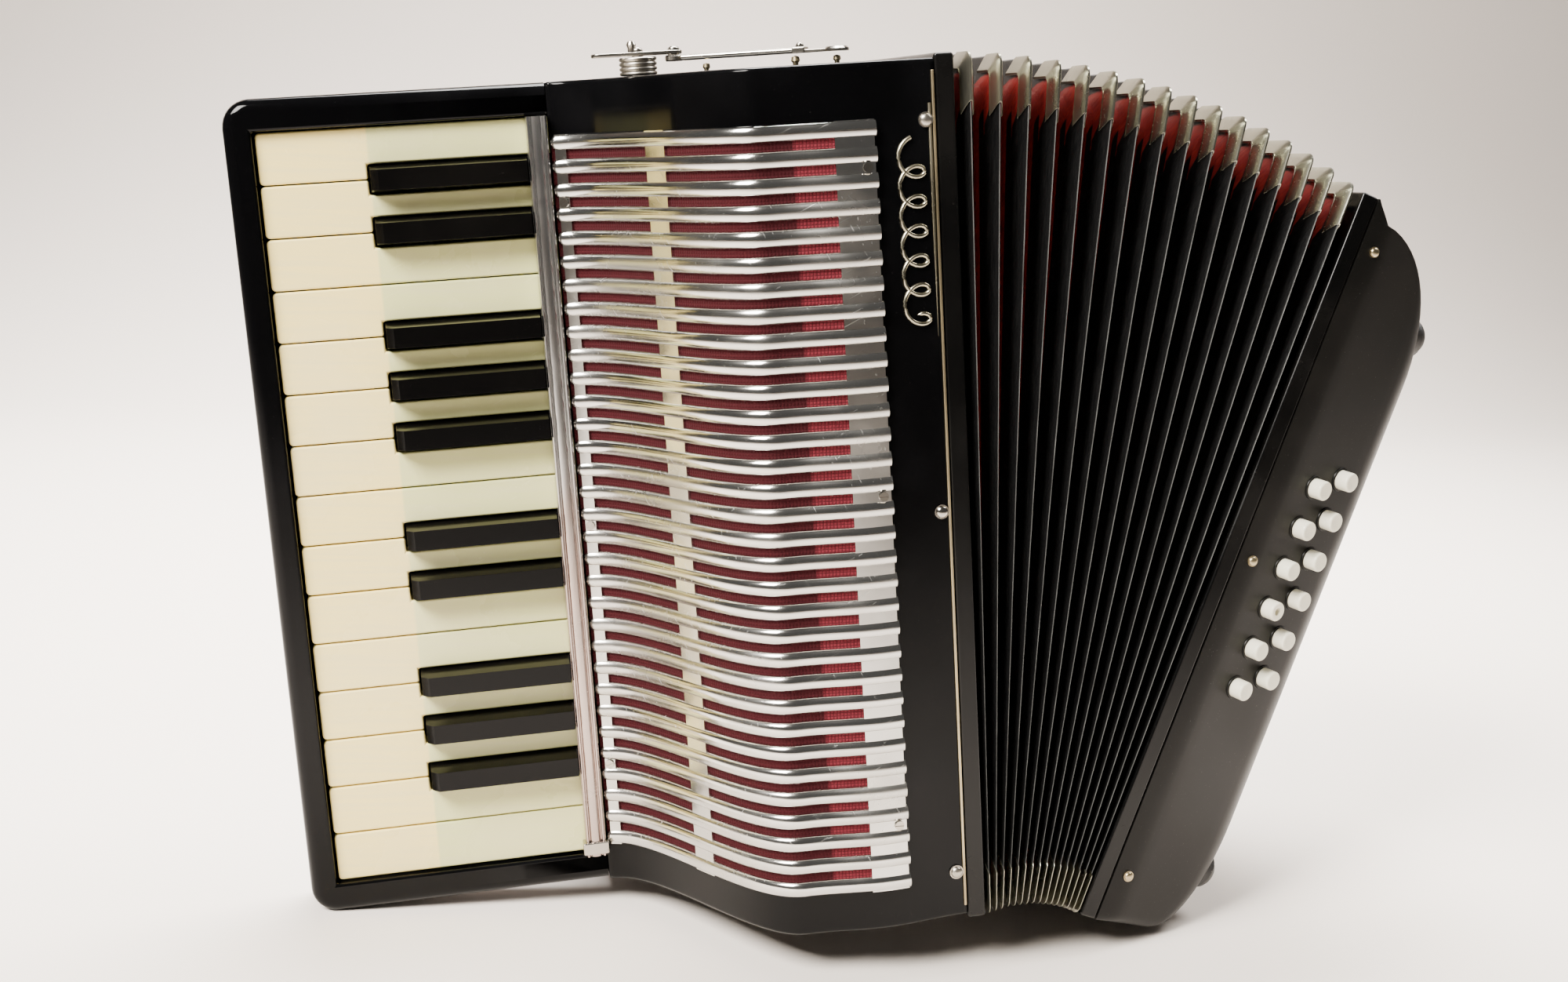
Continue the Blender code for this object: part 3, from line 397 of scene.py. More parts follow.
@dataclass(frozen=True)
class GrilleCloth(Finish):
    """Wine-red cloth of open plain weave, brighter towards the bellows, with painted shade in the gaps
    between its threads.
    """

    bright: Colour = (0.15, 0.017, 0.026)

    def dress(self, graph: Graph, where: object) -> tuple:
        """Wires the weave on the cloth's own map."""
        place = graph.cloth_map()
        threads = graph.group(weave(), place, Threads=820.0)
        parts = graph.add("ShaderNodeSeparateXYZ", {0: place})
        lift = graph.ramp(parts.outputs[0], 0.1105, 0.1125)
        tone = graph.mix(lift, self.colour, self.bright)
        faded = graph.ramp(graph.noise(where, 35.0, 4.0), 0.35, 0.8)
        tone = graph.mix(graph.math("MULTIPLY", faded, 0.35), tone, self.worn)
        # painted shade: the gaps between the threads are darkened for the shaded inside of the body that
        # shows through them
        holes = graph.math("MULTIPLY", threads["Holes"], 0.75)
        colour = graph.mix(holes, tone, (0.035, 0.004, 0.006))
        rough = graph.math("MULTIPLY_ADD", faded, 0.1, self.roughness)
        return colour, rough, graph.bump(threads["Height"], 0.6, 0.0004)


@dataclass(frozen=True)
class BellowsCloth(Finish):
    """Black leathercloth tape over the folds and wine-red cloth in the valleys, with a pale crest line that
    is partly wear and partly a painted highlight.
    """

    red: Colour = (0.13, 0.007, 0.009)
    crest_wear_and_highlight: Colour = (0.15, 0.15, 0.145)

    def dress(self, graph: Graph, where: object) -> tuple:
        """Wires the colours by depth below the folds' edges."""
        bare = graph.attribute("bare")
        depth = graph.attribute("inset")
        place = graph.cloth_map()
        pebbles = graph.group(grain(), place, Scale=1300.0)
        fibres = graph.noise(graph.scaled(place, (30.0, 300.0, 1.0)), 8.0, 4.0)
        black = graph.mix(graph.ramp(fibres, 0.35, 0.75), self.colour, self.worn)
        valley = graph.mix(graph.ramp(fibres, 0.3, 0.8), self.red, (0.24, 0.02, 0.012))
        colour = graph.mix(graph.ramp(bare, 0.0, 0.0006), black, valley)
        patches = graph.noise(graph.scaled(place, (60.0, 400.0, 1.0)), 3.0, 5.0)
        patchy = graph.ramp(patches, 0.3, 0.62)
        # partly wear and partly painted highlight: a patchy pale grey line along the fold crests stands for
        # rubbed tape and for light catching the crests
        edge = graph.ramp(depth, 0.0007, 0.0001)
        crest_wear_and_highlight = graph.math("MULTIPLY", edge, graph.math("MULTIPLY_ADD", patchy, 0.6, 0.15))
        colour = graph.mix(crest_wear_and_highlight, colour, self.crest_wear_and_highlight)
        rough = graph.math("MULTIPLY_ADD", edge, -0.18, self.roughness)
        rough = graph.math("MULTIPLY_ADD", fibres, 0.12, rough)
        return colour, rough, graph.bump(pebbles["Height"], 0.3, 0.0003)


@dataclass(frozen=True)
class Leather(Finish):
    """Leather with pebbled grain, scuffed in patches."""

    pebble: float = 900.0

    def relief(self, graph: Graph, where: object, lines: object) -> object:
        """The bump of the grain."""
        pebbles = graph.group(grain(), where, Scale=self.pebble)
        return graph.bump(pebbles["Height"], 0.5, 0.0004)


@dataclass(frozen=True)
class RailPlate(Finish):
    """Chrome plate, worn through to a pinkish copper over its lower part."""

    copper: Colour = (0.50, 0.40, 0.36)

    def base(self, graph: Graph, where: object) -> object:
        """Chrome above, copper showing below in streaks."""
        height = graph.attribute("height")
        streaks = graph.noise(graph.scaled(where, (200.0, 200.0, 20.0)), 2.0, 5.0)
        level = graph.math("MULTIPLY_ADD", streaks, 0.06, height)
        worn = graph.ramp(level, 0.215, 0.155)
        return graph.mix(worn, self.colour, self.copper)


@dataclass(frozen=True)
class Wood(Finish):
    """Plain wood with its grain along the height."""

    dark: Colour = (0.33, 0.2, 0.1)

    def base(self, graph: Graph, where: object) -> object:
        """Streaks of grain."""
        streaks = graph.noise(graph.scaled(where, (90.0, 90.0, 6.0)), 2.0, 6.0)
        return graph.mix(graph.ramp(streaks, 0.35, 0.7), self.colour, self.dark)


@dataclass(frozen=True)
class Rack:
    """Every finish of the instrument."""

    celluloid: Finish = Finish(
        "black_celluloid", "treble_celluloid", (0.0012, 0.0012, 0.0014), 0.07,
        worn=(0.004, 0.004, 0.0045), worn_share=0.5, dust=0.02, scratch=0.12, spread=0.06,
        ripple=0.35, ripple_scale=28.0, shine=0.15,
    )
    satin: Finish = Finish(
        "bass_satin_black", "bass_satin", (0.0045, 0.0043, 0.0038), 0.34, worn=(0.008, 0.007, 0.006),
        worn_share=0.55, dust=0.15, scratch=0.15, spread=0.10, ripple=0.25, ripple_scale=30.0,
        shine=0.15,
    )
    lacquer: Finish = Finish(
        "frame_black", "frame_lacquer", (0.0016, 0.0016, 0.0016), 0.16, worn=(0.006, 0.0055, 0.005),
        worn_share=0.5, dust=0.05, scratch=0.2, ripple=0.2, shine=0.25,
    )
    ivory: Finish = IvoryKeys(
        "key_ivory", "white_key_ivory", (0.90, 0.735, 0.27), 0.24, worn=(0.74, 0.64, 0.40),
        worn_share=0.25, dust=0.1, scratch=0.15, spread=0.10, ripple=0.1,
    )
    ebony: Finish = Finish(
        "key_black", "black_key", (0.0016, 0.0015, 0.0015), 0.12, worn=(0.004, 0.0035, 0.003),
        worn_share=0.5, dust=0.03, scratch=0.2, spread=0.08, ripple=0.1, shine=0.14,
    )
    button: Finish = Finish(
        "button_ivory", "button_ivory", (0.80, 0.68, 0.34), 0.25, worn=(0.62, 0.55, 0.40),
        worn_share=0.3, dust=0.1, scratch=0.15, ripple=0.1,
    )
    aluminium: Finish = Finish(
        "grille_aluminium", "grille_metal", (0.70, 0.69, 0.66), 0.14, metallic=1.0,
        worn=(0.48, 0.46, 0.42), worn_share=0.5, dust=0.15, scratch=0.4, spread=0.16,
        ripple=0.5, ripple_scale=55.0,
    )
    chrome: Finish = Finish(
        "worn_chrome", "chrome", (0.50, 0.47, 0.42), 0.16, metallic=1.0, worn=(0.42, 0.38, 0.32),
        worn_share=0.7, dust=0.3, scratch=0.4, spread=0.25, ripple=0.5,
    )
    nickel: Finish = Finish(
        "corner_nickel", "chrome", (0.50, 0.49, 0.40), 0.24, metallic=1.0, worn=(0.38, 0.36, 0.28),
        worn_share=0.6, dust=0.1, scratch=0.2, spread=0.15, ripple=0.08, ripple_scale=120.0,
    )
    rail: Finish = RailPlate(
        "rail_plate", "chrome", (0.74, 0.74, 0.73), 0.16, metallic=1.0, worn=(0.50, 0.46, 0.43),
        worn_share=0.3, dust=0.15, scratch=0.1, spread=0.15, ripple=0.05,
    )
    trim: Finish = Finish(
        "scroll_trim", "chrome", (0.46, 0.43, 0.32), 0.22, metallic=1.0, worn=(0.40, 0.35, 0.24),
        worn_share=0.5, dust=0.1, scratch=0.2, spread=0.2, ripple=0.1,
    )
    brass: Finish = Finish(
        "edge_brass", "chrome", (0.50, 0.42, 0.26), 0.3, metallic=1.0, worn=(0.34, 0.27, 0.16),
        worn_share=0.8, dust=0.3, scratch=0.3, spread=0.2, ripple=0.6,
    )
    steel: Finish = Finish(
        "plain_steel", "steel", (0.5, 0.5, 0.5), 0.32, metallic=1.0, worn=(0.3, 0.27, 0.24),
        worn_share=0.6, dust=0.3, scratch=0.5, ripple=0.4,
    )
    cloth: Finish = GrilleCloth(
        "grille_weave", "grille_cloth", (0.034, 0.0028, 0.0048), 0.85,
        worn=(0.05, 0.006, 0.008), shine=0.15,
    )
    bellows: Finish = BellowsCloth(
        "bellows_leathercloth", "bellows_cloth", (0.0022, 0.0022, 0.0024), 0.40,
        worn=(0.006, 0.006, 0.006), shine=0.17,
    )
    leather: Finish = Leather(
        "strap_leather", "strap_leather", (0.008, 0.007, 0.0065), 0.45, worn=(0.024, 0.018, 0.014),
        worn_share=0.4, dust=0.1, scratch=0.2, shine=0.3,
    )
    thread: Finish = Finish(
        "strap_thread", "strap_leather", (0.12, 0.1, 0.08), 0.8, worn=(0.05, 0.04, 0.03), ripple=0.6
    )
    wood: Finish = Wood("reed_wood", "reed_wood", (0.52, 0.36, 0.2), 0.55, ripple=0.3)
    rubber: Finish = Finish(
        "foot_rubber", "frame_lacquer", (0.010, 0.010, 0.010), 0.42, worn=(0.05, 0.048, 0.045),
        worn_share=0.5, dust=0.5, scratch=0.2, ripple=0.5, ripple_scale=200.0,
    )


# ---------------------------------------------------------------- geometry node trees


class Rig(Graph):
    """A Geometry Nodes tree with a Geometry input and output and named sizes."""

    KINDS = {float: "NodeSocketFloat", int: "NodeSocketInt"}

    def __init__(self, name: str, sizes: dict[str, float]) -> None:
        """Makes the tree and its sockets, one for each size, and one for the finish."""
        super().__init__(bpy.data.node_groups.new(name, "GeometryNodeTree"))
        face = self.tree.interface
        face.new_socket("Geometry", in_out="INPUT", socket_type="NodeSocketGeometry")
        face.new_socket("Geometry", in_out="OUTPUT", socket_type="NodeSocketGeometry")
        for key, value in sizes.items():
            socket = face.new_socket(key, in_out="INPUT", socket_type=self.KINDS[type(value)])
            socket.default_value = value
        face.new_socket("Finish", in_out="INPUT", socket_type="NodeSocketMaterial")
        self.entry = self.add("NodeGroupInput").outputs
        self.leave = self.add("NodeGroupOutput").inputs

    def close(self, geometry: bpy.types.NodeSocket) -> bpy.types.NodeTree:
        """Ends the tree: real meshes, smooth, in the finish."""
        real = self.add("GeometryNodeRealizeInstances", {0: geometry}).outputs[0]
        smooth = self.add("GeometryNodeSetShadeSmooth", {0: real}).outputs[0]
        dressed = self.add(
            "GeometryNodeSetMaterial", {"Geometry": smooth, "Material": self.entry["Finish"]}
        )
        self.tree.links.new(dressed.outputs[0], self.leave[0])
        return self.tree


def bars_rig() -> bpy.types.NodeTree:
    """Round-ended bars: the input path swept by a circle and repeated upwards."""
    sizes = {"Count": 32, "Pitch": 0.00866, "Radius": 0.0029, "Flatness": 0.6, "Start": 0.0}
    rig = Rig("repeated_bars", sizes)
    path = rig.add("GeometryNodeMeshToCurve", {"Mesh": rig.entry["Geometry"]}).outputs[0]
    length = rig.add("GeometryNodeSplineParameter").outputs["Length"]
    share = rig.math("DIVIDE", length, rig.entry["Radius"], clamp=True)
    rest = rig.math("SUBTRACT", 1.0, share)
    taper = rig.math("SQRT", rig.math("SUBTRACT", 1.0, rig.math("MULTIPLY", rest, rest)))
    size = rig.math("MAXIMUM", taper, 0.05)
    path = rig.add("GeometryNodeSetCurveRadius", {"Curve": path, "Radius": size}).outputs[0]
    path = rig.add("GeometryNodeSetCurveNormal", {"Curve": path}, mode="Z_UP").outputs[0]
    circle = rig.add(
        "GeometryNodeCurvePrimitiveCircle", {"Resolution": 16, "Radius": rig.entry["Radius"]}
    )
    flat = rig.add("ShaderNodeCombineXYZ", {"X": rig.entry["Flatness"], "Y": 1.0, "Z": 1.0}).outputs[0]
    ring = rig.add("GeometryNodeTransform", {"Geometry": circle.outputs[0], "Scale": flat})
    radius = rig.add("GeometryNodeInputRadius").outputs[0]
    bar = rig.add(
        "GeometryNodeCurveToMesh",
        {"Curve": path, "Profile Curve": ring.outputs[0], "Scale": radius, "Fill Caps": True},
    )
    start = rig.add("ShaderNodeCombineXYZ", {"Z": rig.entry["Start"]}).outputs[0]
    step = rig.add("ShaderNodeCombineXYZ", {"Z": rig.entry["Pitch"]}).outputs[0]
    row = rig.add(
        "GeometryNodeMeshLine",
        {"Count": rig.entry["Count"], "Start Location": start, "Offset": step},
    )
    bars = rig.add(
        "GeometryNodeInstanceOnPoints", {"Points": row.outputs[0], "Instance": bar.outputs[0]}
    )
    return rig.close(bars.outputs[0])


def scatter_rig(pattern: bpy.types.Object) -> bpy.types.NodeTree:
    """Copies of a pattern on the input's points, each turned to its own facing vector."""
    rig = Rig(f"set_{pattern.name}", {"Size": 1.0})
    facing = rig.add("GeometryNodeInputNamedAttribute", data_type="FLOAT_VECTOR")
    facing.inputs["Name"].default_value = "facing"
    turn = rig.add("FunctionNodeAlignRotationToVector", axis="Z")
    rig.tree.links.new(facing.outputs[0], turn.inputs["Vector"])
    source = rig.add("GeometryNodeObjectInfo")
    source.inputs["Object"].default_value = pattern
    copies = rig.add(
        "GeometryNodeInstanceOnPoints",
        {
            "Points": rig.entry["Geometry"],
            "Instance": source.outputs["Geometry"],
            "Rotation": turn.outputs[0],
            "Scale": rig.entry["Size"],
        },
    )
    return rig.close(copies.outputs[0])


def stitches_rig() -> bpy.types.NodeTree:
    """Stitches at an even pitch along the input path."""
    rig = Rig("stitches", {"Pitch": 0.0035, "Length": 0.0022, "Radius": 0.00035})
    path = rig.add("GeometryNodeMeshToCurve", {"Mesh": rig.entry["Geometry"]}).outputs[0]
    inputs = {"Curve": path, "Length": rig.entry["Pitch"]}
    dots = rig.add("GeometryNodeResampleCurve", inputs, mode="LENGTH")
    tangent = rig.add("GeometryNodeInputTangent").outputs[0]
    turn = rig.add("FunctionNodeAlignRotationToVector", {"Vector": tangent}, axis="Z")
    drop = rig.add(
        "GeometryNodeMeshCylinder",
        {"Vertices": 6, "Radius": rig.entry["Radius"], "Depth": rig.entry["Length"]},
    )
    copies = rig.add(
        "GeometryNodeInstanceOnPoints",
        {"Points": dots.outputs[0], "Instance": drop.outputs[0], "Rotation": turn.outputs[0]},
    )
    return rig.close(copies.outputs[0])


def knurl_rig() -> bpy.types.NodeTree:
    """Ridges round a wheel."""
    rig = Rig("knurls", {"Count": 36, "Radius": 0.0108, "Width": 0.0066, "Ridge": 0.0009})
    ring = rig.add(
        "GeometryNodeMeshCircle", {"Vertices": rig.entry["Count"], "Radius": rig.entry["Radius"]}
    )
    place = rig.add("GeometryNodeInputPosition").outputs[0]
    turn = rig.add("FunctionNodeAlignRotationToVector", {"Vector": place}, axis="X")
    size = rig.add(
        "ShaderNodeCombineXYZ",
        {"X": rig.entry["Ridge"], "Y": rig.entry["Ridge"], "Z": rig.entry["Width"]},
    )
    ridge = rig.add("GeometryNodeMeshCube", {"Size": size.outputs[0]})
    copies = rig.add(
        "GeometryNodeInstanceOnPoints",
        {"Points": ring.outputs[0], "Instance": ridge.outputs[0], "Rotation": turn.outputs[0]},
    )
    joined = rig.add("GeometryNodeJoinGeometry")
    rig.tree.links.new(copies.outputs[0], joined.inputs[0])
    rig.tree.links.new(rig.entry["Geometry"], joined.inputs[0])
    return rig.close(joined.outputs[0])


def linked(name: str, data: bpy.types.ID) -> bpy.types.Object:
    """A new object of some data, in the scene."""
    made = bpy.data.objects.new(name, data)
    bpy.context.scene.collection.objects.link(made)
    return made


def grown(mesh: bpy.types.Mesh, tree: bpy.types.NodeTree, sizes: dict[str, object]) -> bpy.types.Mesh:
    """Runs a Geometry Nodes tree on a mesh.

    Args:
        mesh: the input geometry.
        tree: the tree.
        sizes: values for its named inputs.

    Returns:
        The plain mesh that comes out.
    """
    holder = linked("holder", mesh)
    step = holder.modifiers.new("grow", "NODES")
    step.node_group = tree
    for item in tree.interface.items_tree:
        if item.item_type == "SOCKET" and item.in_out == "INPUT" and item.name in sizes:
            step[item.identifier] = sizes[item.name]
    return settled(holder)


def settled(holder: bpy.types.Object) -> bpy.types.Mesh:
    """The evaluated mesh of an object, which is then removed."""
    bpy.context.view_layer.update()
    graph = bpy.context.evaluated_depsgraph_get()
    made = bpy.data.meshes.new_from_object(holder.evaluated_get(graph))
    bpy.data.objects.remove(holder)
    return made


# ---------------------------------------------------------------- mesh shapes


def mesh_of(points: Sequence, faces: Sequence, name: str = "mesh") -> bpy.types.Mesh:
    """A mesh from points and faces, with its normals turned outwards."""
    made = bpy.data.meshes.new(name)
    made.from_pydata([tuple(p) for p in points], [], [tuple(f) for f in faces])
    return outward(made)


def outward(mesh: bpy.types.Mesh, merge: bool = True) -> bpy.types.Mesh:
    """Turns the faces of a closed mesh outwards, with doubles merged first unless told not to."""
    work = bmesh.new()
    work.from_mesh(mesh)
    if merge:
        bmesh.ops.remove_doubles(work, verts=work.verts, dist=MERGE_DISTANCE)
    bmesh.ops.recalc_face_normals(work, faces=work.faces)
    work.to_mesh(mesh)
    work.free()
    return mesh


def path_mesh(points: Sequence) -> bpy.types.Mesh:
    """A chain of edges through points."""
    made = bpy.data.meshes.new("path")
    made.from_pydata([tuple(p) for p in points], [(i, i + 1) for i in range(len(points) - 1)], [])
    return made


def arc(centre: Point2, radii: Point2, start: float, end: float, steps: int) -> list[Point2]:
    """Points on an elliptic arc between two angles in degrees, both ends included."""
    points = []
    for i in range(steps + 1):
        angle = math.radians(start + (end - start) * i / steps)
        points.append((centre[0] + radii[0] * math.cos(angle), centre[1] + radii[1] * math.sin(angle)))
    return points


def prism(outline: Sequence[Point2], low: float, high: float) -> bpy.types.Mesh:
    """A flat outline extruded along Z."""
    count = len(outline)
    points = [(x, y, low) for x, y in outline] + [(x, y, high) for x, y in outline]
    faces = [tuple(range(count)), tuple(range(count, 2 * count))]
    faces += [(i, (i + 1) % count, count + (i + 1) % count, count + i) for i in range(count)]
    return mesh_of(points, faces)


def ring_faces(rings: int, count: int, closed: bool = False, first: int = 0) -> list[tuple]:
    """Faces between rings of points stored one after another.

    Args:
        rings: how many rings there are.
        count: how many points each has.
        closed: whether the last ring joins the first.
        first: the number of the first ring's first point.

    Returns:
        The faces, as numbers of points.
    """
    faces = []
    for k in range(rings if closed else rings - 1):
        here, there = first + k * count, first + (k + 1) % rings * count
        for i in range(count):
            j = (i + 1) % count
            faces.append((here + i, there + i, there + j, here + j))
    return faces


def loft(rings: Sequence[Sequence[Vector]], caps: bool = True, closed: bool = False) -> bpy.types.Mesh:
    """A skin through rings of as many points each.

    Args:
        rings: the rings, in order.
        caps: whether the first and the last ring are filled.
        closed: whether the last ring joins the first.

    Returns:
        The mesh.
    """
    count = len(rings[0])
    points = [p for ring in rings for p in ring]
    faces = ring_faces(len(rings), count, closed)
    if caps and not closed:
        last = (len(rings) - 1) * count
        faces += [tuple(range(count)), tuple(range(last, last + count))]
    return mesh_of(points, faces)


def circle(radius: float, height: float, sides: int) -> list[Vector]:
    """Points on a level circle about the Z axis."""
    angles = (math.tau * i / sides for i in range(sides))
    return [Vector((radius * math.cos(a), radius * math.sin(a), height)) for a in angles]


def turned(profile: Sequence[Point2], sides: int = 32) -> bpy.types.Mesh:
    """A profile of radius and height turned about the Z axis, both of its ends on the axis."""
    rings = []
    for radius, height in profile:
        rings.append(circle(max(radius, TINY), height, sides))
    return smooth(loft(rings), 40)


def smooth(mesh: bpy.types.Mesh, sharp_deg: float = 35.0) -> bpy.types.Mesh:
    """Shades a mesh smooth except at its sharp edges."""
    mesh.shade_smooth()
    mesh.set_sharp_from_angle(angle=math.radians(sharp_deg))
    return mesh


def softened(
    mesh: bpy.types.Mesh, width: float, segments: int = 3, weight: Optional[Callable] = None
) -> bpy.types.Mesh:
    """Rounds a mesh's edges and keeps its flats flat.

    Args:
        mesh: the mesh.
        width: the bevel's width where the weight is 1.
        segments: the bevel's segments.
        weight: a function of an edge's two points that gives its share of the width.

    Returns:
        The rounded mesh.
    """
    mesh.shade_smooth()
    if weight:
        values = mesh.attributes.new("bevel_weight_edge", "FLOAT", "EDGE")
        work = bmesh.new()
        work.from_mesh(mesh)
        work.edges.ensure_lookup_table()
        shares = []
        for edge in work.edges:
            sharp = len(edge.link_faces) == 2 and edge.calc_face_angle(0.0) > SHARP_EDGE
            ends = (edge.verts[0].co, edge.verts[1].co)
            shares.append(weight(*ends) if sharp else 0.0)
        work.free()
        values.data.foreach_set("value", shares)
    holder = linked("holder", mesh)
    step = holder.modifiers.new("round", "BEVEL")
    step.width = width
    step.segments = segments
    step.limit_method = "WEIGHT" if weight else "ANGLE"
    step.angle_limit = SHARP_EDGE
    step.harden_normals = True
    return settled(holder)


def joined(meshes: Iterable[bpy.types.Mesh]) -> bpy.types.Mesh:
    """Several meshes as one."""
    work = bmesh.new()
    for mesh in meshes:
        work.from_mesh(mesh)
    made = bpy.data.meshes.new("joined")
    work.to_mesh(made)
    work.free()
    return made


def moved(mesh: bpy.types.Mesh, matrix: Matrix) -> bpy.types.Mesh:
    """The same mesh after a transform."""
    mesh.transform(matrix)
    return mesh


def facing_front() -> Matrix:
    """Turns a mesh drawn in XY so that its Y becomes Z and its Z faces the front."""
    return Matrix.Rotation(math.radians(90), 4, "X")


def points_facing(points: Sequence[Vector], facings: Sequence[Vector]) -> bpy.types.Mesh:
    """Loose points, each with the direction it faces."""
    made = bpy.data.meshes.new("points")
    made.from_pydata([tuple(p) for p in points], [], [])
    stored = made.attributes.new("facing", "FLOAT_VECTOR", "POINT")
    stored.data.foreach_set("vector", [c for v in facings for c in v])
    return made


def screw_head(radius: float, height: float) -> bpy.types.Mesh:
    """A slotted, slightly domed screw head."""
    low = 0.55 * height
    disc = turned([(0.0, -height), (radius, -height), (radius, low), (0.0, low)], 20)
    halves = []
    half_slot = 0.12 * radius
    start = math.degrees(math.asin(half_slot / radius))
    for turn in (0.0, math.pi):
        outline = arc((0.0, 0.0), (radius, radius), start, 180 - start, 10)
        half = prism(outline, low - 1e-5, height)
        halves.append(moved(half, Matrix.Rotation(turn, 4, "Z")))
    return joined([disc, *halves])


def pin_head(radius: float, height: float) -> bpy.types.Mesh:
    """A domed pin head with a small shoulder."""
    dome = arc((0.0, 0.35 * height), (0.86 * radius, 0.65 * height), 90, 0, 7)
    return turned(dome + [(radius, 0.35 * height), (radius, -height), (0.0, -height)], 24)


def store(mesh: bpy.types.Mesh, name: str, values: Sequence[float]) -> None:
    """Stores a number for each point of a mesh."""
    mesh.attributes.new(name, "FLOAT", "POINT").data.foreach_set("value", values)


# ---------------------------------------------------------------- frames of reference


@dataclass(frozen=True)
class Stance:
    """Where the two sides and the fan of the bellows stand."""

    treble: Matrix
    bass: Matrix
    pivot: Vector
    axis: Vector
    angle: float

    @staticmethod
    def from_joints(joints: Sequence[dict]) -> "Stance":
        """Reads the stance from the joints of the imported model."""
        named = {joint["name"]: joint for joint in joints}
        low_key = named[f"white_key_{WHITE_COUNT:02d}_dip"]
        up = -Vector(low_key["axis"]).normalized()
        depth = Vector((0.0, 1.0, 0.0))
        along = depth.cross(up)
        origin = Vector(low_key["pos_m"]) - along * PIVOT.x - depth * PIVOT.y - up * PIVOT.z
        turn = Matrix((along, depth, up)).transposed().to_4x4()
        treble = Matrix.Translation(origin) @ turn
        fan = named["bellows_fan"]
        axis = Vector(fan["axis"]).normalized()
        angle = math.radians(-fan["range_deg"][0])
        opened = Matrix.Rotation(angle, 4, axis) @ turn
        bass = Matrix.Translation(treble @ BASS_CORNER) @ opened
        return Stance(treble, bass, Vector(fan["pos_m"]), axis, angle)

    def fanned(self, share: float) -> Matrix:
        """The move of a fold from closed to where it rests, for its share of the fan."""
        turn = Matrix.Rotation(self.angle * share, 4, self.axis)
        return Matrix.Translation(self.pivot) @ turn @ Matrix.Translation(-self.pivot)

    def closed_corner(self) -> Vector:
        """The bass frame's lower front corner with the bellows closed, in the treble frame."""
        return self.treble.inverted() @ (self.fanned(1.0).inverted() @ self.bass.translation)


@dataclass
class Bench:
    """Adds finished meshes to the scene."""

    stance: Stance
    rack: Rack
    count: int = 0

    def place(self, side: Side) -> Matrix:
        """The frame of one side."""
        return self.stance.treble if side is Side.TREBLE else self.stance.bass

    def dressed(self, name: str, mesh: bpy.types.Mesh, finish: Finish) -> bpy.types.Object:
        """A new object of a mesh in one finish."""
        mesh.name = name
        mesh.materials.clear()
        mesh.materials.append(finish.material())
        mesh.polygons.foreach_set("material_index", [0] * len(mesh.polygons))
        self.count += 1
        return linked(name, mesh)

    def add(
        self,
        name: str,
        mesh: bpy.types.Mesh,
        finish: Finish,
        body: str,
        side: Optional[Side] = None,
        stands_for: Sequence[str] = (),
    ) -> bpy.types.Object:
        """Adds a piece.

        Args:
            name: the piece's name.
            mesh: its mesh, in the frame of a side or in the world.
            finish: its finish.
            body: the body it rides on.
            side: the side whose frame the mesh is in, or None for the world.
            stands_for: the CAD nodes it replaces.

        Returns:
            The object.
        """
        if side:
            mesh.transform(self.place(side))
        made = self.dressed(name, mesh, finish)
        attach(made, body)
        if stands_for:
            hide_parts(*stands_for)
        log.info("%s: %d faces on %s", name, len(mesh.polygons), body)
        return made

    def heads(
        self,
        name: str,
        pattern: bpy.types.Mesh,
        spots: Sequence[tuple[Vector, Vector]],
        finish: Finish,
        side: Side,
    ) -> bpy.types.Object:
        """Adds copies of a screw or pin head at spots, each a point and the way it faces."""
        source = linked(f"pattern_{name}", pattern)
        base = points_facing([spot for spot, _ in spots], [way for _, way in spots])
        sizes = {"Size": 1.0, "Finish": finish.material()}
        mesh = grown(base, scatter_rig(source), sizes)
        bpy.data.objects.remove(source)
        mesh.set_sharp_from_angle(angle=SHARP_EDGE)
        return self.add(name, mesh, finish, side.value, side)

    def keep(self, node: str, finish: Finish) -> None:
        """Gives a CAD node that stays its finish."""
        kept = frame["nodes"][node]
        kept.data.materials.clear()
        kept.data.materials.append(finish.material())
        log.info("%s keeps its shape", node)


def front_y(x: float) -> float:
    """The treble body's front surface at x."""
    share = min(1.0, max(0.0, (x - BODY_LEFT) / SWEEP))
    rise = share * share * (3 - 2 * share)
    past = (x - BODY_LEFT - SWEEP) / (BODY_RIGHT - BODY_LEFT - SWEEP)
    crown = CROWN * math.sin(math.pi * min(1.0, max(0.0, past))) ** 2
    return -RIM_RISE - rise * (-FRONT - RIM_RISE) - crown


def front_point(x: float, lift: float = 0.0) -> tuple[Vector, Vector]:
    """A point over the front surface, with z 0, and the surface's normal there."""
    step = 1e-4
    slope = (front_y(x + step) - front_y(x - step)) / (2 * step)
    normal = Vector((slope, -1.0, 0.0)).normalized()
    return Vector((x, front_y(x), 0.0)) + normal * lift, normal


def front_run(x0: float, x1: float, lift: float, step: float = 0.0015) -> list[Point2]:
    """Points over the front surface from x0 to x1."""
    count = max(2, round((x1 - x0) / step))
    places = [x0 + (x1 - x0) * i / count for i in range(count + 1)]
    return [(p.x, p.y) for p in (front_point(x, lift)[0] for x in places)]


# ---------------------------------------------------------------- treble side


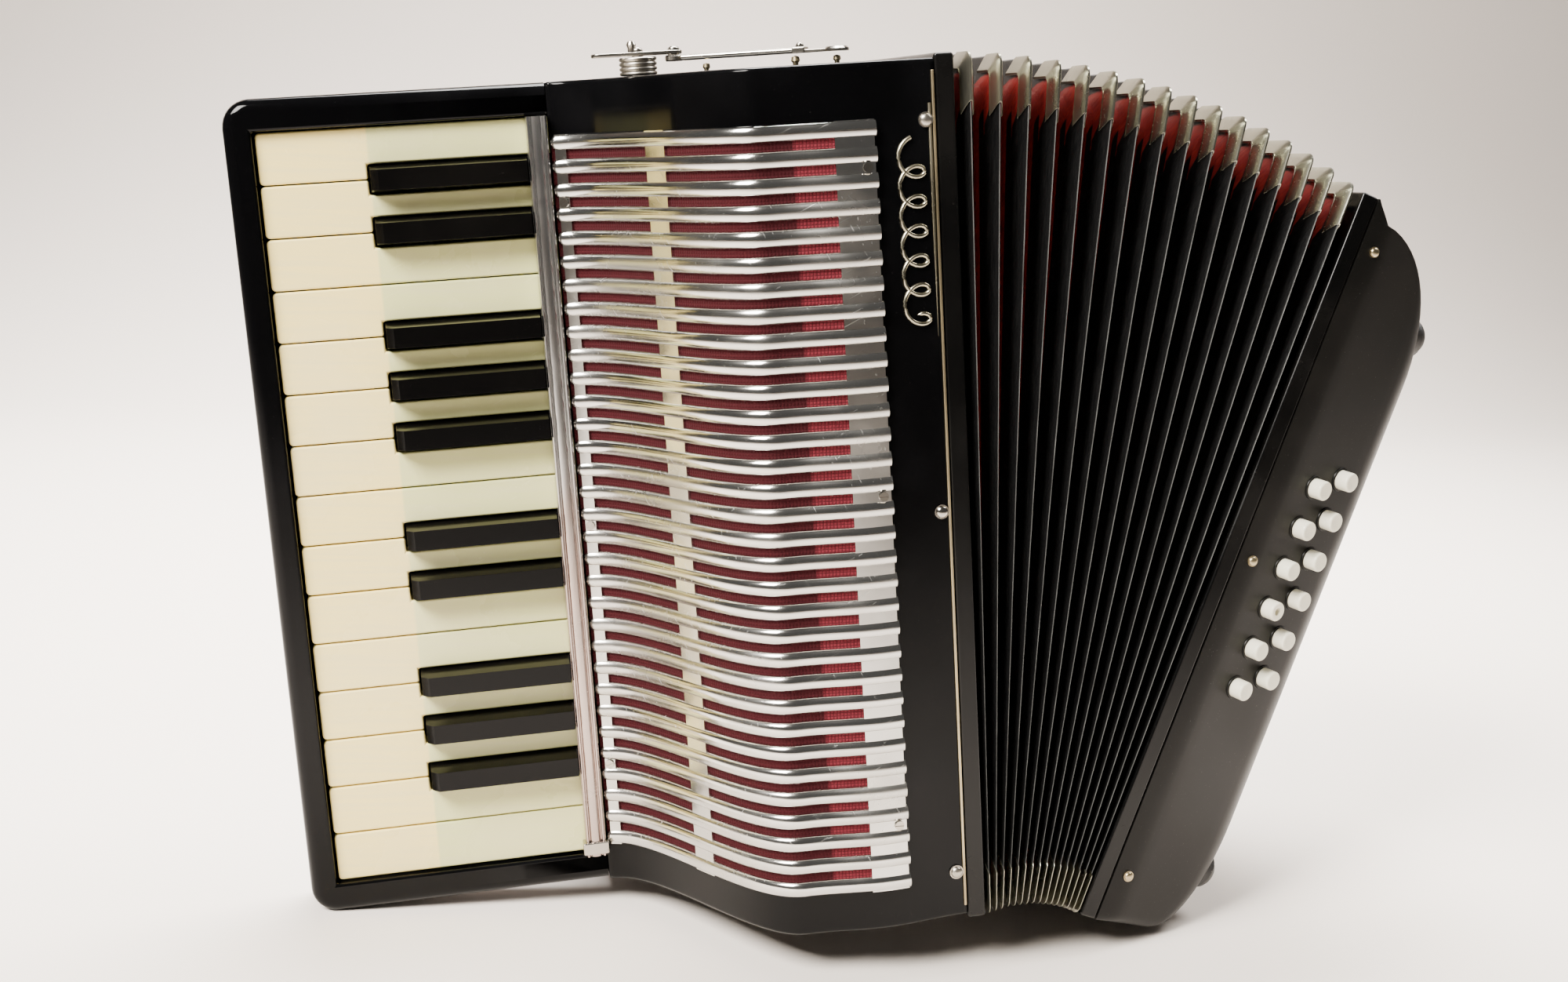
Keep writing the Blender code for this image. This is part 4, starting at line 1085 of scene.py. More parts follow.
@dataclass
class TrebleBody:
    """The glossy black box behind the grille, with its trim."""

    bench: Bench
    edge_round: float = 0.0055
    pin_x: float = 0.2262
    pin_heights: tuple[float, ...] = (0.0175, 0.153, 0.2885)
    line_x: Point2 = (0.2287, BODY_RIGHT)
    back_round: float = 0.008

    def build(self) -> None:
        """Builds the box, its brass edge, its pins, its back cover and its ornament."""
        outline = front_run(BODY_LEFT, BODY_RIGHT, 0.0) + [(BODY_RIGHT, BODY_BACK)]
        centre = (BODY_LEFT + self.back_round, BODY_BACK - self.back_round)
        outline += arc(centre, (self.back_round, self.back_round), 90, 180, 8)
        mesh = prism(outline, 0.0, HEIGHT)

        def weight(a: Vector, b: Vector) -> float:
            """Rounds every edge but those by the bellows and the keys."""
            by_bellows = min(a.x, b.x) > BODY_RIGHT - 10 * TINY
            upright = abs(a.z - b.z) > 0.01
            return 0.0 if by_bellows or upright else 1.0

        mesh = softened(mesh, self.edge_round, 6, weight)
        rack = self.bench.rack
        self.bench.add("treble_shell", mesh, rack.celluloid, "treble", Side.TREBLE, ["treble_body"])
        self.build_line()
        self.build_pins()
        self.build_cover()
        self.build_ornament()

    def build_line(self) -> None:
        """The brass edging between the box and the bellows frame."""
        x0, x1 = self.line_x
        end, sunk, proud = 0.004, 0.0005, 0.0007
        y = front_y(x0)
        outline = [(x0, y + sunk), (x1, y + sunk), (x1, y - proud), (x0, y - proud)]
        mesh = softened(prism(outline, end, HEIGHT - end), 0.0003, 2)
        self.bench.add("edge_line", mesh, self.bench.rack.brass, "treble", Side.TREBLE)

    def build_pins(self) -> None:
        """Three bright pins down the front."""
        point, normal = front_point(self.pin_x)
        spots = [(point + Vector((0, 0, z)), normal) for z in self.pin_heights]
        head = pin_head(0.0026, 0.0022)
        self.bench.heads("front_pins", head, spots, self.bench.rack.chrome, Side.TREBLE)

    def build_cover(self) -> None:
        """A thin back cover with a row of small screws."""
        inset, radius, proud, sunk, screw_inset = 0.012, 0.006, 0.0012, 0.001, 0.007
        x0, x1 = BODY_LEFT + inset, BODY_RIGHT - radius
        z0, z1 = inset + radius, HEIGHT - inset - radius
        outline = []
        for centre, start in (((x1 - radius, z0), -90), ((x1 - radius, z1), 0),
                              ((x0 + radius, z1), 90), ((x0 + radius, z0), 180)):
            outline += arc(centre, (radius, radius), start, start + 90, 4)
        mesh = moved(prism(outline, -BODY_BACK - proud, -BODY_BACK + sunk), facing_front())
        mesh = softened(mesh, 0.0007, 3)
        rack = self.bench.rack
        self.bench.add("back_cover", mesh, rack.satin, "treble", Side.TREBLE)
        back = Vector((0.0, 1.0, 0.0))
        spots = []
        for x in (x0 + screw_inset, x1 - screw_inset):
            for z in (inset + screw_inset, HEIGHT / 2, HEIGHT - inset - screw_inset):
                spots.append((Vector((x, BODY_BACK + proud, z)), back))
        self.bench.heads("cover_screws", screw_head(0.0023, 0.0009), spots, rack.steel, Side.TREBLE)

    def build_ornament(self) -> None:
        """A plain looping scroll with a straight line beside it, in place of lettering."""
        x, low, length, loops, wide, curl = 0.2205, 0.2190, 0.0600, 6, 0.0046, 0.0040
        lift, scroll_wire, line_wire, line_right = 0.0003, 0.00075, 0.0006, 0.0072
        count = 24 * loops
        points = []
        for i in range(count + 1):
            turn = math.tau * loops * i / count
            point = front_point(x + wide * math.sin(turn), lift)[0]
            points.append(point + Vector((0, 0, low + length * i / count + curl * math.cos(turn))))
        foot = front_point(x + line_right, lift)[0]
        line = [foot + Vector((0, 0, z)) for z in (low - 0.004, low + 0.035, low + 0.075)]
        rack = self.bench.rack
        parts = []
        for path, radius in ((points, scroll_wire), (line, line_wire)):
            sizes = {"Count": 1, "Pitch": 0.01, "Radius": radius, "Flatness": 1.0, "Start": 0.0,
                     "Finish": rack.trim.material()}
            parts.append(grown(path_mesh(path), bars_rig(), sizes))
        self.bench.add("front_ornament", joined(parts), rack.trim, "treble", Side.TREBLE)


@dataclass
class Tray:
    """The keyboard tray with its rounded rim."""

    bench: Bench
    left: float = -0.0108
    right: float = 0.1037
    corner: float = 0.010
    depth: float = 0.021
    back: float = 0.006
    well_left: float = -0.0008
    outer_round: float = 0.0045
    inner_round: float = 0.0012
    lap: float = 0.001

    def build(self) -> None:
        """Builds the rim with the back plate under the keys."""
        corner = (self.corner, self.corner)
        low, high = KEYS_BOTTOM - GAP, KEYS_TOP + GAP
        outline = [(self.right, low), (self.well_left, low), (self.well_left, high)]
        outline += [(self.right, high), (self.right, HEIGHT)]
        outline += arc((self.left + self.corner, HEIGHT - self.corner), corner, 90, 180, 8)
        outline += arc((self.left + self.corner, self.corner), corner, 180, 270, 8)
        outline += [(self.right, 0.0)]
        mesh = prism(outline, -self.depth, RIM_RISE)

        def weight(a: Vector, b: Vector) -> float:
            """Rounds the outer edges more than the inner ones, and not the end by the body."""
            if max(a.x, b.x) > self.right - TINY and abs(a.x - b.x) < TINY:
                return 0.0
            inner = all(
                low - TINY < p.y < high + TINY and p.x > self.well_left - TINY for p in (a, b)
            )
            return self.inner_round / self.outer_round if inner else 1.0

        rim = moved(softened(mesh, self.outer_round, 5, weight), facing_front())
        x0, z0, z1 = self.well_left - self.lap, low - self.lap, high + self.lap
        sheet = [(x0, z0), (self.right, z0), (self.right, z1), (x0, z1)]
        plate = prism(sheet, -self.depth + 0.0005, -self.depth + self.back)
        mesh = joined([rim, moved(plate, facing_front())])
        finish = self.bench.rack.celluloid
        self.bench.add("tray_shell", mesh, finish, "treble", Side.TREBLE, ["keyboard_tray"])


@dataclass
class Keyboard:
    """Fifteen white keys, ten black ones, the rail over their tails and the rod behind it."""

    bench: Bench
    side_gap: float = 0.00025
    black_width: float = 0.0096
    black_gap: float = 0.0008
    black_rise: float = 0.008
    white_corner: float = 0.0016
    white_round: float = 0.0009
    black_round: float = 0.0013

    def build(self) -> None:
        """Builds every key and the rail."""
        for index in range(1, WHITE_COUNT + 1):
            self.build_white(index)
        for index, white in enumerate(WHITES_BELOW_BLACKS, start=1):
            self.build_black(index, white)
        self.build_rail()
        self.bench.keep("key_rod", self.bench.rack.steel)

    def build_white(self, index: int) -> None:
        """A white key, cut back beside its black neighbours."""
        bottom = KEYS_TOP - index * WHITE_PITCH
        low, high = self.side_gap, WHITE_PITCH - self.side_gap
        notch = self.black_width / 2 + self.black_gap
        start = WHITE_LENGTH - BLACK_LENGTH - self.black_gap
        tail = WHITE_LENGTH + KEY_TAIL
        rear_low = notch if index in WHITES_BELOW_BLACKS else low
        rear_high = WHITE_PITCH - notch if index - 1 in WHITES_BELOW_BLACKS else high
        corner = self.white_corner
        outline = arc((corner, high - corner), (corner, corner), 90, 180, 4)
        outline += arc((corner, low + corner), (corner, corner), 180, 270, 4)
        outline += [(start, low)]
        if rear_low != low:
            outline += [(start, rear_low)]
        outline += [(tail, rear_low), (tail, rear_high)]
        if rear_high != high:
            outline += [(start, rear_high)]
        outline += [(start, high)]
        outline = [(x, y + bottom) for x, y in outline]
        mesh = moved(prism(outline, -KEY_THICKNESS, 0.0), facing_front())
        mesh = softened(mesh, self.white_round, 3)
        store(mesh, "along", [v.co.x for v in mesh.vertices])
        name = f"white_key_{index:02d}"
        self.bench.add(f"{name}_ivory", mesh, self.bench.rack.ivory, name, Side.TREBLE, [name])

    def build_black(self, index: int, white: int) -> None:
        """A black key with a sloping nose, narrower at its top."""
        centre = KEYS_TOP - white * WHITE_PITCH
        start, end = WHITE_LENGTH - BLACK_LENGTH, WHITE_LENGTH + KEY_TAIL
        raised = WHITE_LENGTH - GAP
        half = self.black_width / 2
        top = half - 0.0011
        rise = self.black_rise
        slices = [
            (start, KEY_THICKNESS, 0.0005, half),
            (start + 0.0002, KEY_THICKNESS, -rise + 0.0030, half - 0.0002),
            (start + 0.0030, KEY_THICKNESS, -rise, half),
            (raised, KEY_THICKNESS, -rise - 0.0003, half),
        ]
        rings = []
        for x, deep, face, wide in slices:
            narrow = wide if face > -0.001 else top
            ring = [(wide, deep), (wide, 0.0), (narrow, face)]
            ring += [(-z, y) for z, y in ring[::-1]]
            rings.append([Vector((x, y, centre + z)) for z, y in ring])
        mesh = softened(loft(rings), self.black_round, 4)
        lapped, low = raised - 0.001, 0.0002
        side = [(lapped, low), (end, low), (end, KEY_THICKNESS), (lapped, KEY_THICKNESS)]
        stem = prism(side, centre - half, centre + half)
        mesh = joined([mesh, softened(stem, 0.0004, 2)])
        name = f"black_key_{index:02d}"
        self.bench.add(f"{name}_cap", mesh, self.bench.rack.ebony, name, Side.TREBLE, [name])

    def build_rail(self) -> None:
        """The ridged rail, with a small clip at its lower end."""
        x0, x1 = WHITE_LENGTH + GAP, BODY_LEFT - 2 * GAP
        base, face, ridge = -0.0012, -0.0072, 0.0012
        outline = [(x0, base), (x0, face + ridge)]
        left = x0
        for share in (0.2, 0.6, 0.2):
            width = share * (x1 - x0)
            outline += arc((left + width / 2, face + ridge), (0.46 * width, ridge), 180, 360, 8)
            left += width
        outline += [(x1, face + ridge), (x1, base)]
        mesh = smooth(prism(outline, KEYS_BOTTOM, KEYS_TOP), 50)
        store(mesh, "height", [v.co.z for v in mesh.vertices])
        self.bench.add("rail_strip", mesh, self.bench.rack.rail, "treble", Side.TREBLE, ["key_rail"])
        left, right, rear, front = x0 - 0.0012, x1 + 0.0012, base - 0.001, face - 0.0008
        low, tall = KEYS_BOTTOM + 0.001, 0.005
        clip = [(left, rear), (right, rear), (right, front), (left, front)]
        mesh = softened(prism(clip, low, low + tall), 0.0006, 3)
        self.bench.add("rail_clip", mesh, self.bench.rack.chrome, "treble", Side.TREBLE)


@dataclass
class Grille:
    """The slatted grille, its three flat columns, its screws and the cloth behind it."""

    bench: Bench
    bars: int = 32
    pitch: float = 0.00866
    radius: float = 0.0029
    centre_z: float = 0.1528
    left: float = BODY_LEFT
    right: float = 0.2078
    columns: tuple[Point2, ...] = ((0.1060, 0.1105), (0.1366, 0.1421), (0.1940, 0.2072))
    lift: float = 0.0012

    def build(self) -> None:
        """Builds the bars, the columns, the screws and the cloth."""
        rack = self.bench.rack
        low = self.centre_z - (self.bars - 1) * self.pitch / 2
        high = self.centre_z + (self.bars - 1) * self.pitch / 2
        step = 0.0016
        places = [self.left + d for d in (0.0, 0.00015, 0.0005, 0.0011, 0.0018)]
        far = [self.left + 0.0026 + i * step for i in range(200)]
        places += [x for x in far if x < self.right - step / 2] + [self.right]
        path = path_mesh([front_point(x, self.lift)[0] for x in places])
        sizes = {"Count": self.bars, "Pitch": self.pitch, "Radius": self.radius, "Start": low,
                 "Finish": rack.aluminium.material()}
        bars = grown(path, bars_rig(), sizes)
        bars.set_sharp_from_angle(angle=math.radians(50))
        self.bench.add("grille_bars", bars, rack.aluminium, "treble", Side.TREBLE, ["treble_grille"])
        strips = []
        for x0, x1 in self.columns:
            outer = front_run(x0, x1, 0.0021)
            inner = front_run(x0, x1, 0.0011)
            strips.append(smooth(prism(outer + inner[::-1], low - self.radius, high + self.radius), 40))
        self.bench.add("grille_columns", joined(strips), rack.aluminium, "treble", Side.TREBLE)
        spots = []
        for x, rows in ((0.2045, (2, 15, 29)), (0.1082, (3, 17, 28))):
            point, normal = front_point(x, 0.0022)
            for row in rows:
                z = high - (row - 0.5) * self.pitch
                spots.append((point + Vector((0, 0, z)), normal))
        self.bench.heads("grille_screws", screw_head(0.0017, 0.0007), spots, rack.chrome, Side.TREBLE)
        self.build_cloth(low, high)

    def build_cloth(self, low: float, high: float) -> None:
        """The stretched cloth, as a thin closed sheet with its own map."""
        x0, x1 = BODY_LEFT + 0.0004, self.right - 0.0026
        face = front_run(x0, x1, 0.0009)
        rear = front_run(x0, x1, 0.0004)
        low, high = low + 0.0005, high - 0.0005
        mesh = smooth(prism(face + rear[::-1], low, high), 40)
        reach = [0.0]
        for a, b in zip(face, face[1:]):
            reach.append(reach[-1] + math.dist(a, b))
        layer = mesh.uv_layers.new(name="cloth")
        for loop in mesh.loops:
            p = mesh.vertices[loop.vertex_index].co
            nearest = min(range(len(face)), key=lambda i: abs(face[i][0] - p.x))
            layer.data[loop.index].uv = (reach[nearest], p.z)
        rack = self.bench.rack
        made = self.bench.add(
            "grille_weave_sheet", mesh, rack.cloth, "treble", Side.TREBLE, ["grille_cloth"]
        )


@dataclass
class Clasp:
    """The bellows clasp along the top, in its three moving parts, with its fixed fittings."""

    bench: Bench
    x: float = 0.1365
    y: float = -0.020
    knob_radius: float = 0.0068
    knob_height: float = 0.0066
    lever_back: float = 0.0135
    lever_ahead: float = 0.0130
    lever_width: float = 0.006
    lever_thickness: float = 0.0014
    link_length: float = 0.060
    link_swing: float = -27.0
    rod: float = 0.0011
    rod_spread: float = 0.0034

    def build(self) -> None:
        """Builds the knob, the lever, the link and the fixed posts."""
        place = Matrix.Translation((self.x, self.y, HEIGHT))
        rack = self.bench.rack
        profile = [(0.0, self.knob_height)]
        ribs, rib = 4, 0.0008
        for i in range(ribs):
            z = self.knob_height * (1 - i / ribs)
            profile += arc((self.knob_radius - rib, z - rib), (rib, 0.0007), 80, -80, 5)
        profile += [(0.0, 0.0001)]
        knob = moved(turned(profile, 40), place)
        self.bench.add("clasp_ribbed_post", knob, rack.chrome, "treble", Side.TREBLE, ["clasp_knob"])
        self.build_lever(place)
        self.build_link()
        self.build_posts()

    def build_lever(self, place: Matrix) -> None:
        """The flat lever with its rivet and its upturned tab."""
        low = self.knob_height + GAP
        half = self.lever_width / 2
        radii = (half, half)
        outline = arc((self.lever_ahead, 0), radii, -90, 90, 8)
        outline += [(0.003, 0.8 * half)]
        outline += arc((-self.lever_back, 0), (half, 0.9 * half), 90, 270, 8)
        outline += [(0.003, -0.8 * half)]
        bar = softened(prism(outline, low, low + self.lever_thickness), 0.0004, 3)
        neck, bulge = 0.0014, 0.0018
        ball = [(0.0, 0.0042), (0.0012, 0.0038), (bulge, 0.0026), (neck, neck), (neck, 0.0), (0.0, 0.0)]
        heads = (
            (pin_head(0.0021, 0.0018), 0.0),
            (turned(ball, 20), -0.002),
            (pin_head(0.0022, 0.0016), self.lever_ahead),
        )
        top = low + self.lever_thickness
        parts = [moved(head, Matrix.Translation((x, 0, top))) for head, x in heads]
        mesh = moved(joined([bar, *parts]), place)
        rack = self.bench.rack
        self.bench.add("clasp_lever_bar", mesh, rack.chrome, "lever", Side.TREBLE, ["clasp_lever"])

    def build_link(self) -> None:
        """The link of two rods between an eye and a clevis, with its round end plate."""
        place = Matrix.Translation((self.x + self.lever_ahead, self.y, HEIGHT))
        place = place @ Matrix.Rotation(math.radians(self.link_swing), 4, "Z")
        rod, length = self.rod, self.link_length
        low = self.knob_height - 2 * rod
        middle = low + rod
        parts = []
        for side in (-1, 1):
            rings = []
            for t in (0.06, 0.10, 0.5, 0.72, 0.76):
                centre = Vector((t * length, side * self.rod_spread / 2, middle))
                rings.append([centre + Vector((0, p.x, p.y)) for p in circle(rod, 0.0, 10)])
            parts.append(smooth(loft(rings), 50))
        flat, eye_radius = 0.0028, 0.0032
        eye = [(0.0, 2 * rod), (flat, 2 * rod), (eye_radius, 1.6 * rod)]
        eye += [(eye_radius, 0.4 * rod), (flat, 0.0), (0.0, 0.0)]
        parts.append(moved(turned(eye, 24), Matrix.Translation((0, 0, low))))
        half = self.rod_spread / 2 + rod
        start, stop = 0.74 * length, 0.82 * length
        block = [(start, -half), (stop, -half), (stop, half), (start, half)]
        parts.append(softened(prism(block, low, low + 2 * rod), 0.0005, 3))
        disc = [(0.0, 0.0016), (0.0036, 0.0016), (0.0044, 0.0009), (0.0044, 0.0), (0.0, 0.0)]
        parts.append(moved(turned(disc, 28), Matrix.Translation((length, 0, low))))
        root, slim, wide = stop - 0.001, 0.0022, 0.0030
        tongue = [(root, -slim), (length, -wide), (length, wide), (root, slim)]
        parts.append(softened(prism(tongue, low, low + 0.0012), 0.0003, 2))
        spot = Matrix.Translation(((start + stop) / 2, 0, low + 2 * rod))
        parts.append(moved(pin_head(0.0015, 0.0016), spot))
        mesh = moved(joined(parts), place)
        rack = self.bench.rack
        self.bench.add("clasp_link_rods", mesh, rack.chrome, "link", Side.TREBLE, ["clasp_link"])

    def build_posts(self) -> None:
        """The small fixed posts under the link's path."""
        stem = 0.0009
        post = [(0.0, 0.0034), (0.0012, 0.0030), (0.0014, 0.0018)]
        post += [(stem, 0.0012), (stem, 0.0), (0.0, 0.0)]
        parts = []
        swing = math.radians(self.link_swing)
        for reach, size in ((0.012, 1.0), (0.045, 1.15), (0.060, 1.0)):
            x = self.x + self.lever_ahead + reach * math.cos(swing)
            y = self.y + reach * math.sin(swing)
            place = Matrix.Translation((x, y, HEIGHT - 0.0002)) @ Matrix.Scale(size, 4)
            parts.append(moved(turned(post, 18), place))
        self.bench.add("clasp_posts", joined(parts), self.bench.rack.brass, "treble", Side.TREBLE)


@dataclass
class TrebleFittings:
    """The strap brackets, the treble bellows frame and the reed block."""

    bench: Bench
    bracket_inset: float = 0.045
    half: float = 0.0130
    height: float = 0.0200
    wire: float = 0.0015
    corner: float = 0.005
    plate: Point2 = (0.0150, 0.0055)

    def build(self) -> None:
        """Builds the frame and the brackets, and dresses the reed blocks."""
        rack = self.bench.rack
        mesh = ring_frame(TREBLE_BOX, BODY_RIGHT + GAP, FRAME_RIGHT, FRAME_WIDTH)
        self.bench.add(
            "treble_frame", mesh, rack.lacquer, "treble", Side.TREBLE, ["treble_bellows_frame"]
        )
        x = (BODY_LEFT + BODY_RIGHT) / 2
        for name, z in (("upper", HEIGHT - self.bracket_inset), ("lower", self.bracket_inset)):
            self.build_bracket(f"strap_bracket_{name}", x, z)
        self.bench.keep("treble_reed_block", rack.wood)
        self.bench.keep("bass_reed_block", rack.wood)

    def build_bracket(self, node: str, x: float, z: float) -> None:
        """A wire loop with a riveted foot plate."""
        half, corner = self.half, self.corner
        top, radii = self.height - corner, (corner, corner)
        path = [(-half, 0.0), (-half, top)]
        path += arc((-half + corner, top), radii, 180, 90, 6)[1:]
        path += arc((half - corner, top), radii, 90, 0, 6)
        path += [(half, 0.0)]
        rings = []
        for i, (px, py) in enumerate(path):
            before = Vector(path[max(0, i - 1)])
            after = Vector(path[min(len(path) - 1, i + 1)])
            way = (after - before).normalized()
            side = Vector((-way.y, way.x, 0.0))
            centre = Vector((px, py, 0.0))
            spots = circle(self.wire, 0.0, 12)
            rings.append([centre + side * p.x + Vector((0, 0, p.y)) for p in spots])
        loop = smooth(loft(rings), 50)
        (wide, tall), low, high = self.plate, 0.0002, 0.0014
        outline = [(-wide, low), (wide, low), (wide, high), (-wide, high)]
        plate = softened(prism(outline, -tall, tall), 0.0005, 3)
        mesh = moved(joined([loop, plate]), Matrix.Translation((x, BODY_BACK + GAP, z)))
        chrome = self.bench.rack.chrome
        self.bench.add(f"{node}_loop", mesh, chrome, "treble", Side.TREBLE, [node])


def ring_frame(box: Sequence[float], x0: float, x1: float, width: float) -> bpy.types.Mesh:
    """A bellows frame: a ring between x0 and x1 round the box (y0, z0, y1, z1), edges eased."""
    y0, z0, y1, z1 = box
    rings = []
    for inset, x in ((0.0, x0), (0.0, x1), (width, x1), (width, x0)):
        near, far, low, high = y0 + inset, y1 - inset, z0 + inset, z1 - inset
        corners = [(near, low), (far, low), (far, high), (near, high)]
        rings.append([Vector((x, y, z)) for y, z in corners])
    return softened(loft(rings, closed=True), 0.0011, 3)


# ---------------------------------------------------------------- bellows


@dataclass
class Bellows:
    """Sixteen folds of card and cloth with metal corners, fanned between the two frames."""

    bench: Bench
    folds: int = 16
    depth: float = 0.015
    card: float = 0.003
    corner: float = 0.0035
    margin: float = 0.0002
    cap_reach: float = 0.0125
    stops: tuple[float, ...] = (0.004, 0.008, 0.013, 0.018)
    tape: float = 0.0118
    gap: float = 0.0
    box: list = field(default_factory=list)

    def build(self) -> None:
        """Builds the folded skin and its corners, and lets both bend with the fan."""
        closed = self.bench.stance.closed_corner()
        self.gap = closed.x - FRAME_RIGHT
        self.box = [
            TREBLE_BOX,
            (closed.y, closed.z, closed.y + BASS_DEPTH, closed.z + BASS_HEIGHT),
        ]
        self.build_skin()
        self.build_corners()

    def side_box(self, share: float) -> tuple:
        """The outer box of the folds, share of the way to the bass side."""
        return tuple(a + (b - a) * share for a, b in zip(*self.box))

    def at(self, share: float, y: float, z: float) -> Vector:
        """A point of the closed bellows at its rest place, in the world."""
        x = FRAME_RIGHT + GAP + share * (self.gap - 2 * GAP)
        return self.bench.stance.fanned(share) @ (self.bench.stance.treble @ Vector((x, y, z)))

    def walk(self, share: float, inset: float) -> list[Point2]:
        """Places round one ring, with its corners rounded."""
        y0, z0, y1, z1 = self.side_box(share)
        edge = self.margin + inset
        y0, z0, y1, z1 = y0 + edge, z0 + edge, y1 - edge, z1 - edge
        r = self.corner * (1.0 + 1.2 * min(1.0, inset / self.depth))
        centres = ((y1 - r, z0 + r), (y1 - r, z1 - r), (y0 + r, z1 - r), (y0 + r, z0 + r))
        arcs = [arc(c, (r, r), -90 + 90 * k, 90 * k, 5) for k, c in enumerate(centres)]
        points = []
        for i, run in enumerate(arcs):
            points += run
            here, there = run[-1], arcs[(i + 1) % 4][0]
            length = math.dist(here, there)
            marks = [reach / length for reach in self.stops]
            marks += [0.15 + 0.1 * k for k in range(8)] + [1 - mark for mark in marks[::-1]]
            wide, tall = there[0] - here[0], there[1] - here[1]
            points += [(here[0] + wide * t, here[1] + tall * t) for t in marks]
        return points

    def profile(self) -> list[tuple[float, float]]:
        """One fold's section from valley to valley: places across the fold and insets."""
        half = [(0.0, self.depth), (0.13, self.depth - 0.0038), (0.28, 0.0095), (0.30, 0.0083)]
        half += [(0.43, 0.0026), (0.465, 0.0010), (0.485, 0.0003)]
        return half + [(0.5, 0.0)] + [(1 - a, b) for a, b in half[::-1]][:-1]

    def build_skin(self) -> None:
        """The skin of all folds as one piece."""
        stations = []
        for k in range(self.folds):
            stations += [((k + a) / self.folds, inset) for a, inset in self.profile()]
        stations.append((1.0, self.depth))
        rings, insets, shares, bare = [], [], [], []
        turns = [(s, inset) for s, inset in stations if inset in (0.0, self.depth)]
        inner = [(s, inset + self.card * 0.5) for s, inset in turns[::-1]]
        for share, inset in stations + inner:
            walk = self.walk(share, inset)
            ring = [self.at(share, y, z) for y, z in walk]
            rings.append(ring)
            insets += [inset] * len(ring)
            bare += [inset - self.tape * self.taped(share, y, z) for y, z in walk]
            shares += [share] * len(ring)
        count = len(rings[0])
        mesh = bpy.data.meshes.new("skin")
        faces = ring_faces(len(rings), count, closed=True)
        mesh.from_pydata([tuple(p) for ring in rings for p in ring], [], faces)
        store(mesh, "inset", insets)
        store(mesh, "bare", bare)
        outward(mesh, merge=False)
        layer = mesh.uv_layers.new(name="cloth")
        for polygon in mesh.polygons:
            last_column = any(v % count == count - 1 for v in polygon.vertices)
            for index in polygon.loop_indices:
                vertex = mesh.loops[index].vertex_index
                ring, spot = divmod(vertex, count)
                if spot == 0 and last_column:
                    spot = count
                layer.data[index].uv = (spot * 0.0115, ring * 0.0022)
        smooth(mesh, 55)
        self.add_bent("bellows_folds", mesh, self.bench.rack.bellows, shares, ["bellows"])

    def taped(self, share: float, y: float, z: float) -> float:
        """How much of the tape's full width there is at a place, less by the corners."""
        y0, z0, y1, z1 = self.side_box(share)
        inward = sorted((min(y - y0, y1 - y), min(z - z0, z1 - z)))[1]
        return min(1.0, 0.3 + 0.7 * max(0.0, inward - 0.009) / 0.012)

    def add_bent(
        self,
        name: str,
        mesh: bpy.types.Mesh,
        finish: Finish,
        shares: list[float],
        stands_for: Sequence[str] = (),
    ) -> None:
        """Adds a piece whose points each follow the fan by their own share."""
        made = self.bench.dressed(name, mesh, finish)
        start = self.at(0.0, 0.0, HEIGHT / 2)
        end = self.at(1.0, 0.0, HEIGHT / 2)
        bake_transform(made, "treble", "bass", start=tuple(start), end=tuple(end))
        mesh.attributes["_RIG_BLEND"].data.foreach_set("value", shares)
        if stands_for:
            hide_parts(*stands_for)
        log.info("%s: %d faces between both sides", name, len(mesh.polygons))

    def build_corners(self) -> None:
        """A bent metal cap over each fold's four corners."""
        points, faces, shares = [], [], []
        half = [(0.03, 0.0), (0.07, 0.0007), (0.12, 0.0024), (0.23, 0.0060), (0.24, 0.0057)]
        across = [(-offset, inset) for offset, inset in half[::-1]] + half
        for k in range(self.folds):
            centre = (k + 0.5) / self.folds
            for corner in range(4):
                first = len(points)
                stops = self.corner_stops()
                for stop in stops:
                    for outer in (True, False):
                        run = across if outer else across[::-1]
                        for offset, inset in run:
                            lift = 0.0006 if outer else 0.0001
                            wide = offset * (1.0 if outer else 0.9)
                            share = centre + wide / self.folds
                            y, z = self.corner_point(share, corner, stop, inset - lift)
                            points.append(self.at(share, y, z))
                            shares.append(share)
                count = 2 * len(across)
                faces += ring_faces(len(stops), count, first=first)
                last = first + (len(stops) - 1) * count
                for start in (first, last):
                    end = start + count - 1
                    for i in range(len(across) - 1):
                        faces.append((start + i, start + i + 1, end - 1 - i, end - i))
        mesh = bpy.data.meshes.new("corners")
        mesh.from_pydata([tuple(p) for p in points], [], faces)
        outward(mesh, merge=False)
        smooth(mesh, 50)
        self.add_bent("bellows_corners", mesh, self.bench.rack.nickel, shares)

    def corner_stops(self) -> list[tuple[float, float]]:
        """Stops along a corner: how far along the edge from the arc, and the arc's share."""
        reach = self.cap_reach
        stops = [(-reach, 0.0), (-reach + 0.0006, 0.0), (-reach / 2, 0.0)]
        stops += [(0.0, i / 6) for i in range(7)]
        stops += [(reach / 2, 1.0), (reach - 0.0006, 1.0), (reach, 1.0)]
        return stops

    def corner_point(self, share: float, corner: int, stop: Point2, inset: float) -> Point2:
        """A place round one corner of a ring."""
        y0, z0, y1, z1 = self.side_box(share)
        edge = self.margin + inset
        y0, z0, y1, z1 = y0 + edge, z0 + edge, y1 - edge, z1 - edge
        r = max(0.0008, self.corner - inset * 0.2)
        centres = ((y1 - r, z0 + r), (y1 - r, z1 - r), (y0 + r, z1 - r), (y0 + r, z0 + r))
        start = -90 + 90 * corner
        along, turn = stop
        angle = math.radians(start + 90 * turn)
        y = centres[corner][0] + r * math.cos(angle)
        z = centres[corner][1] + r * math.sin(angle)
        way = angle + math.pi / 2
        return y + along * math.cos(way), z + along * math.sin(way)


# ---------------------------------------------------------------- bass side


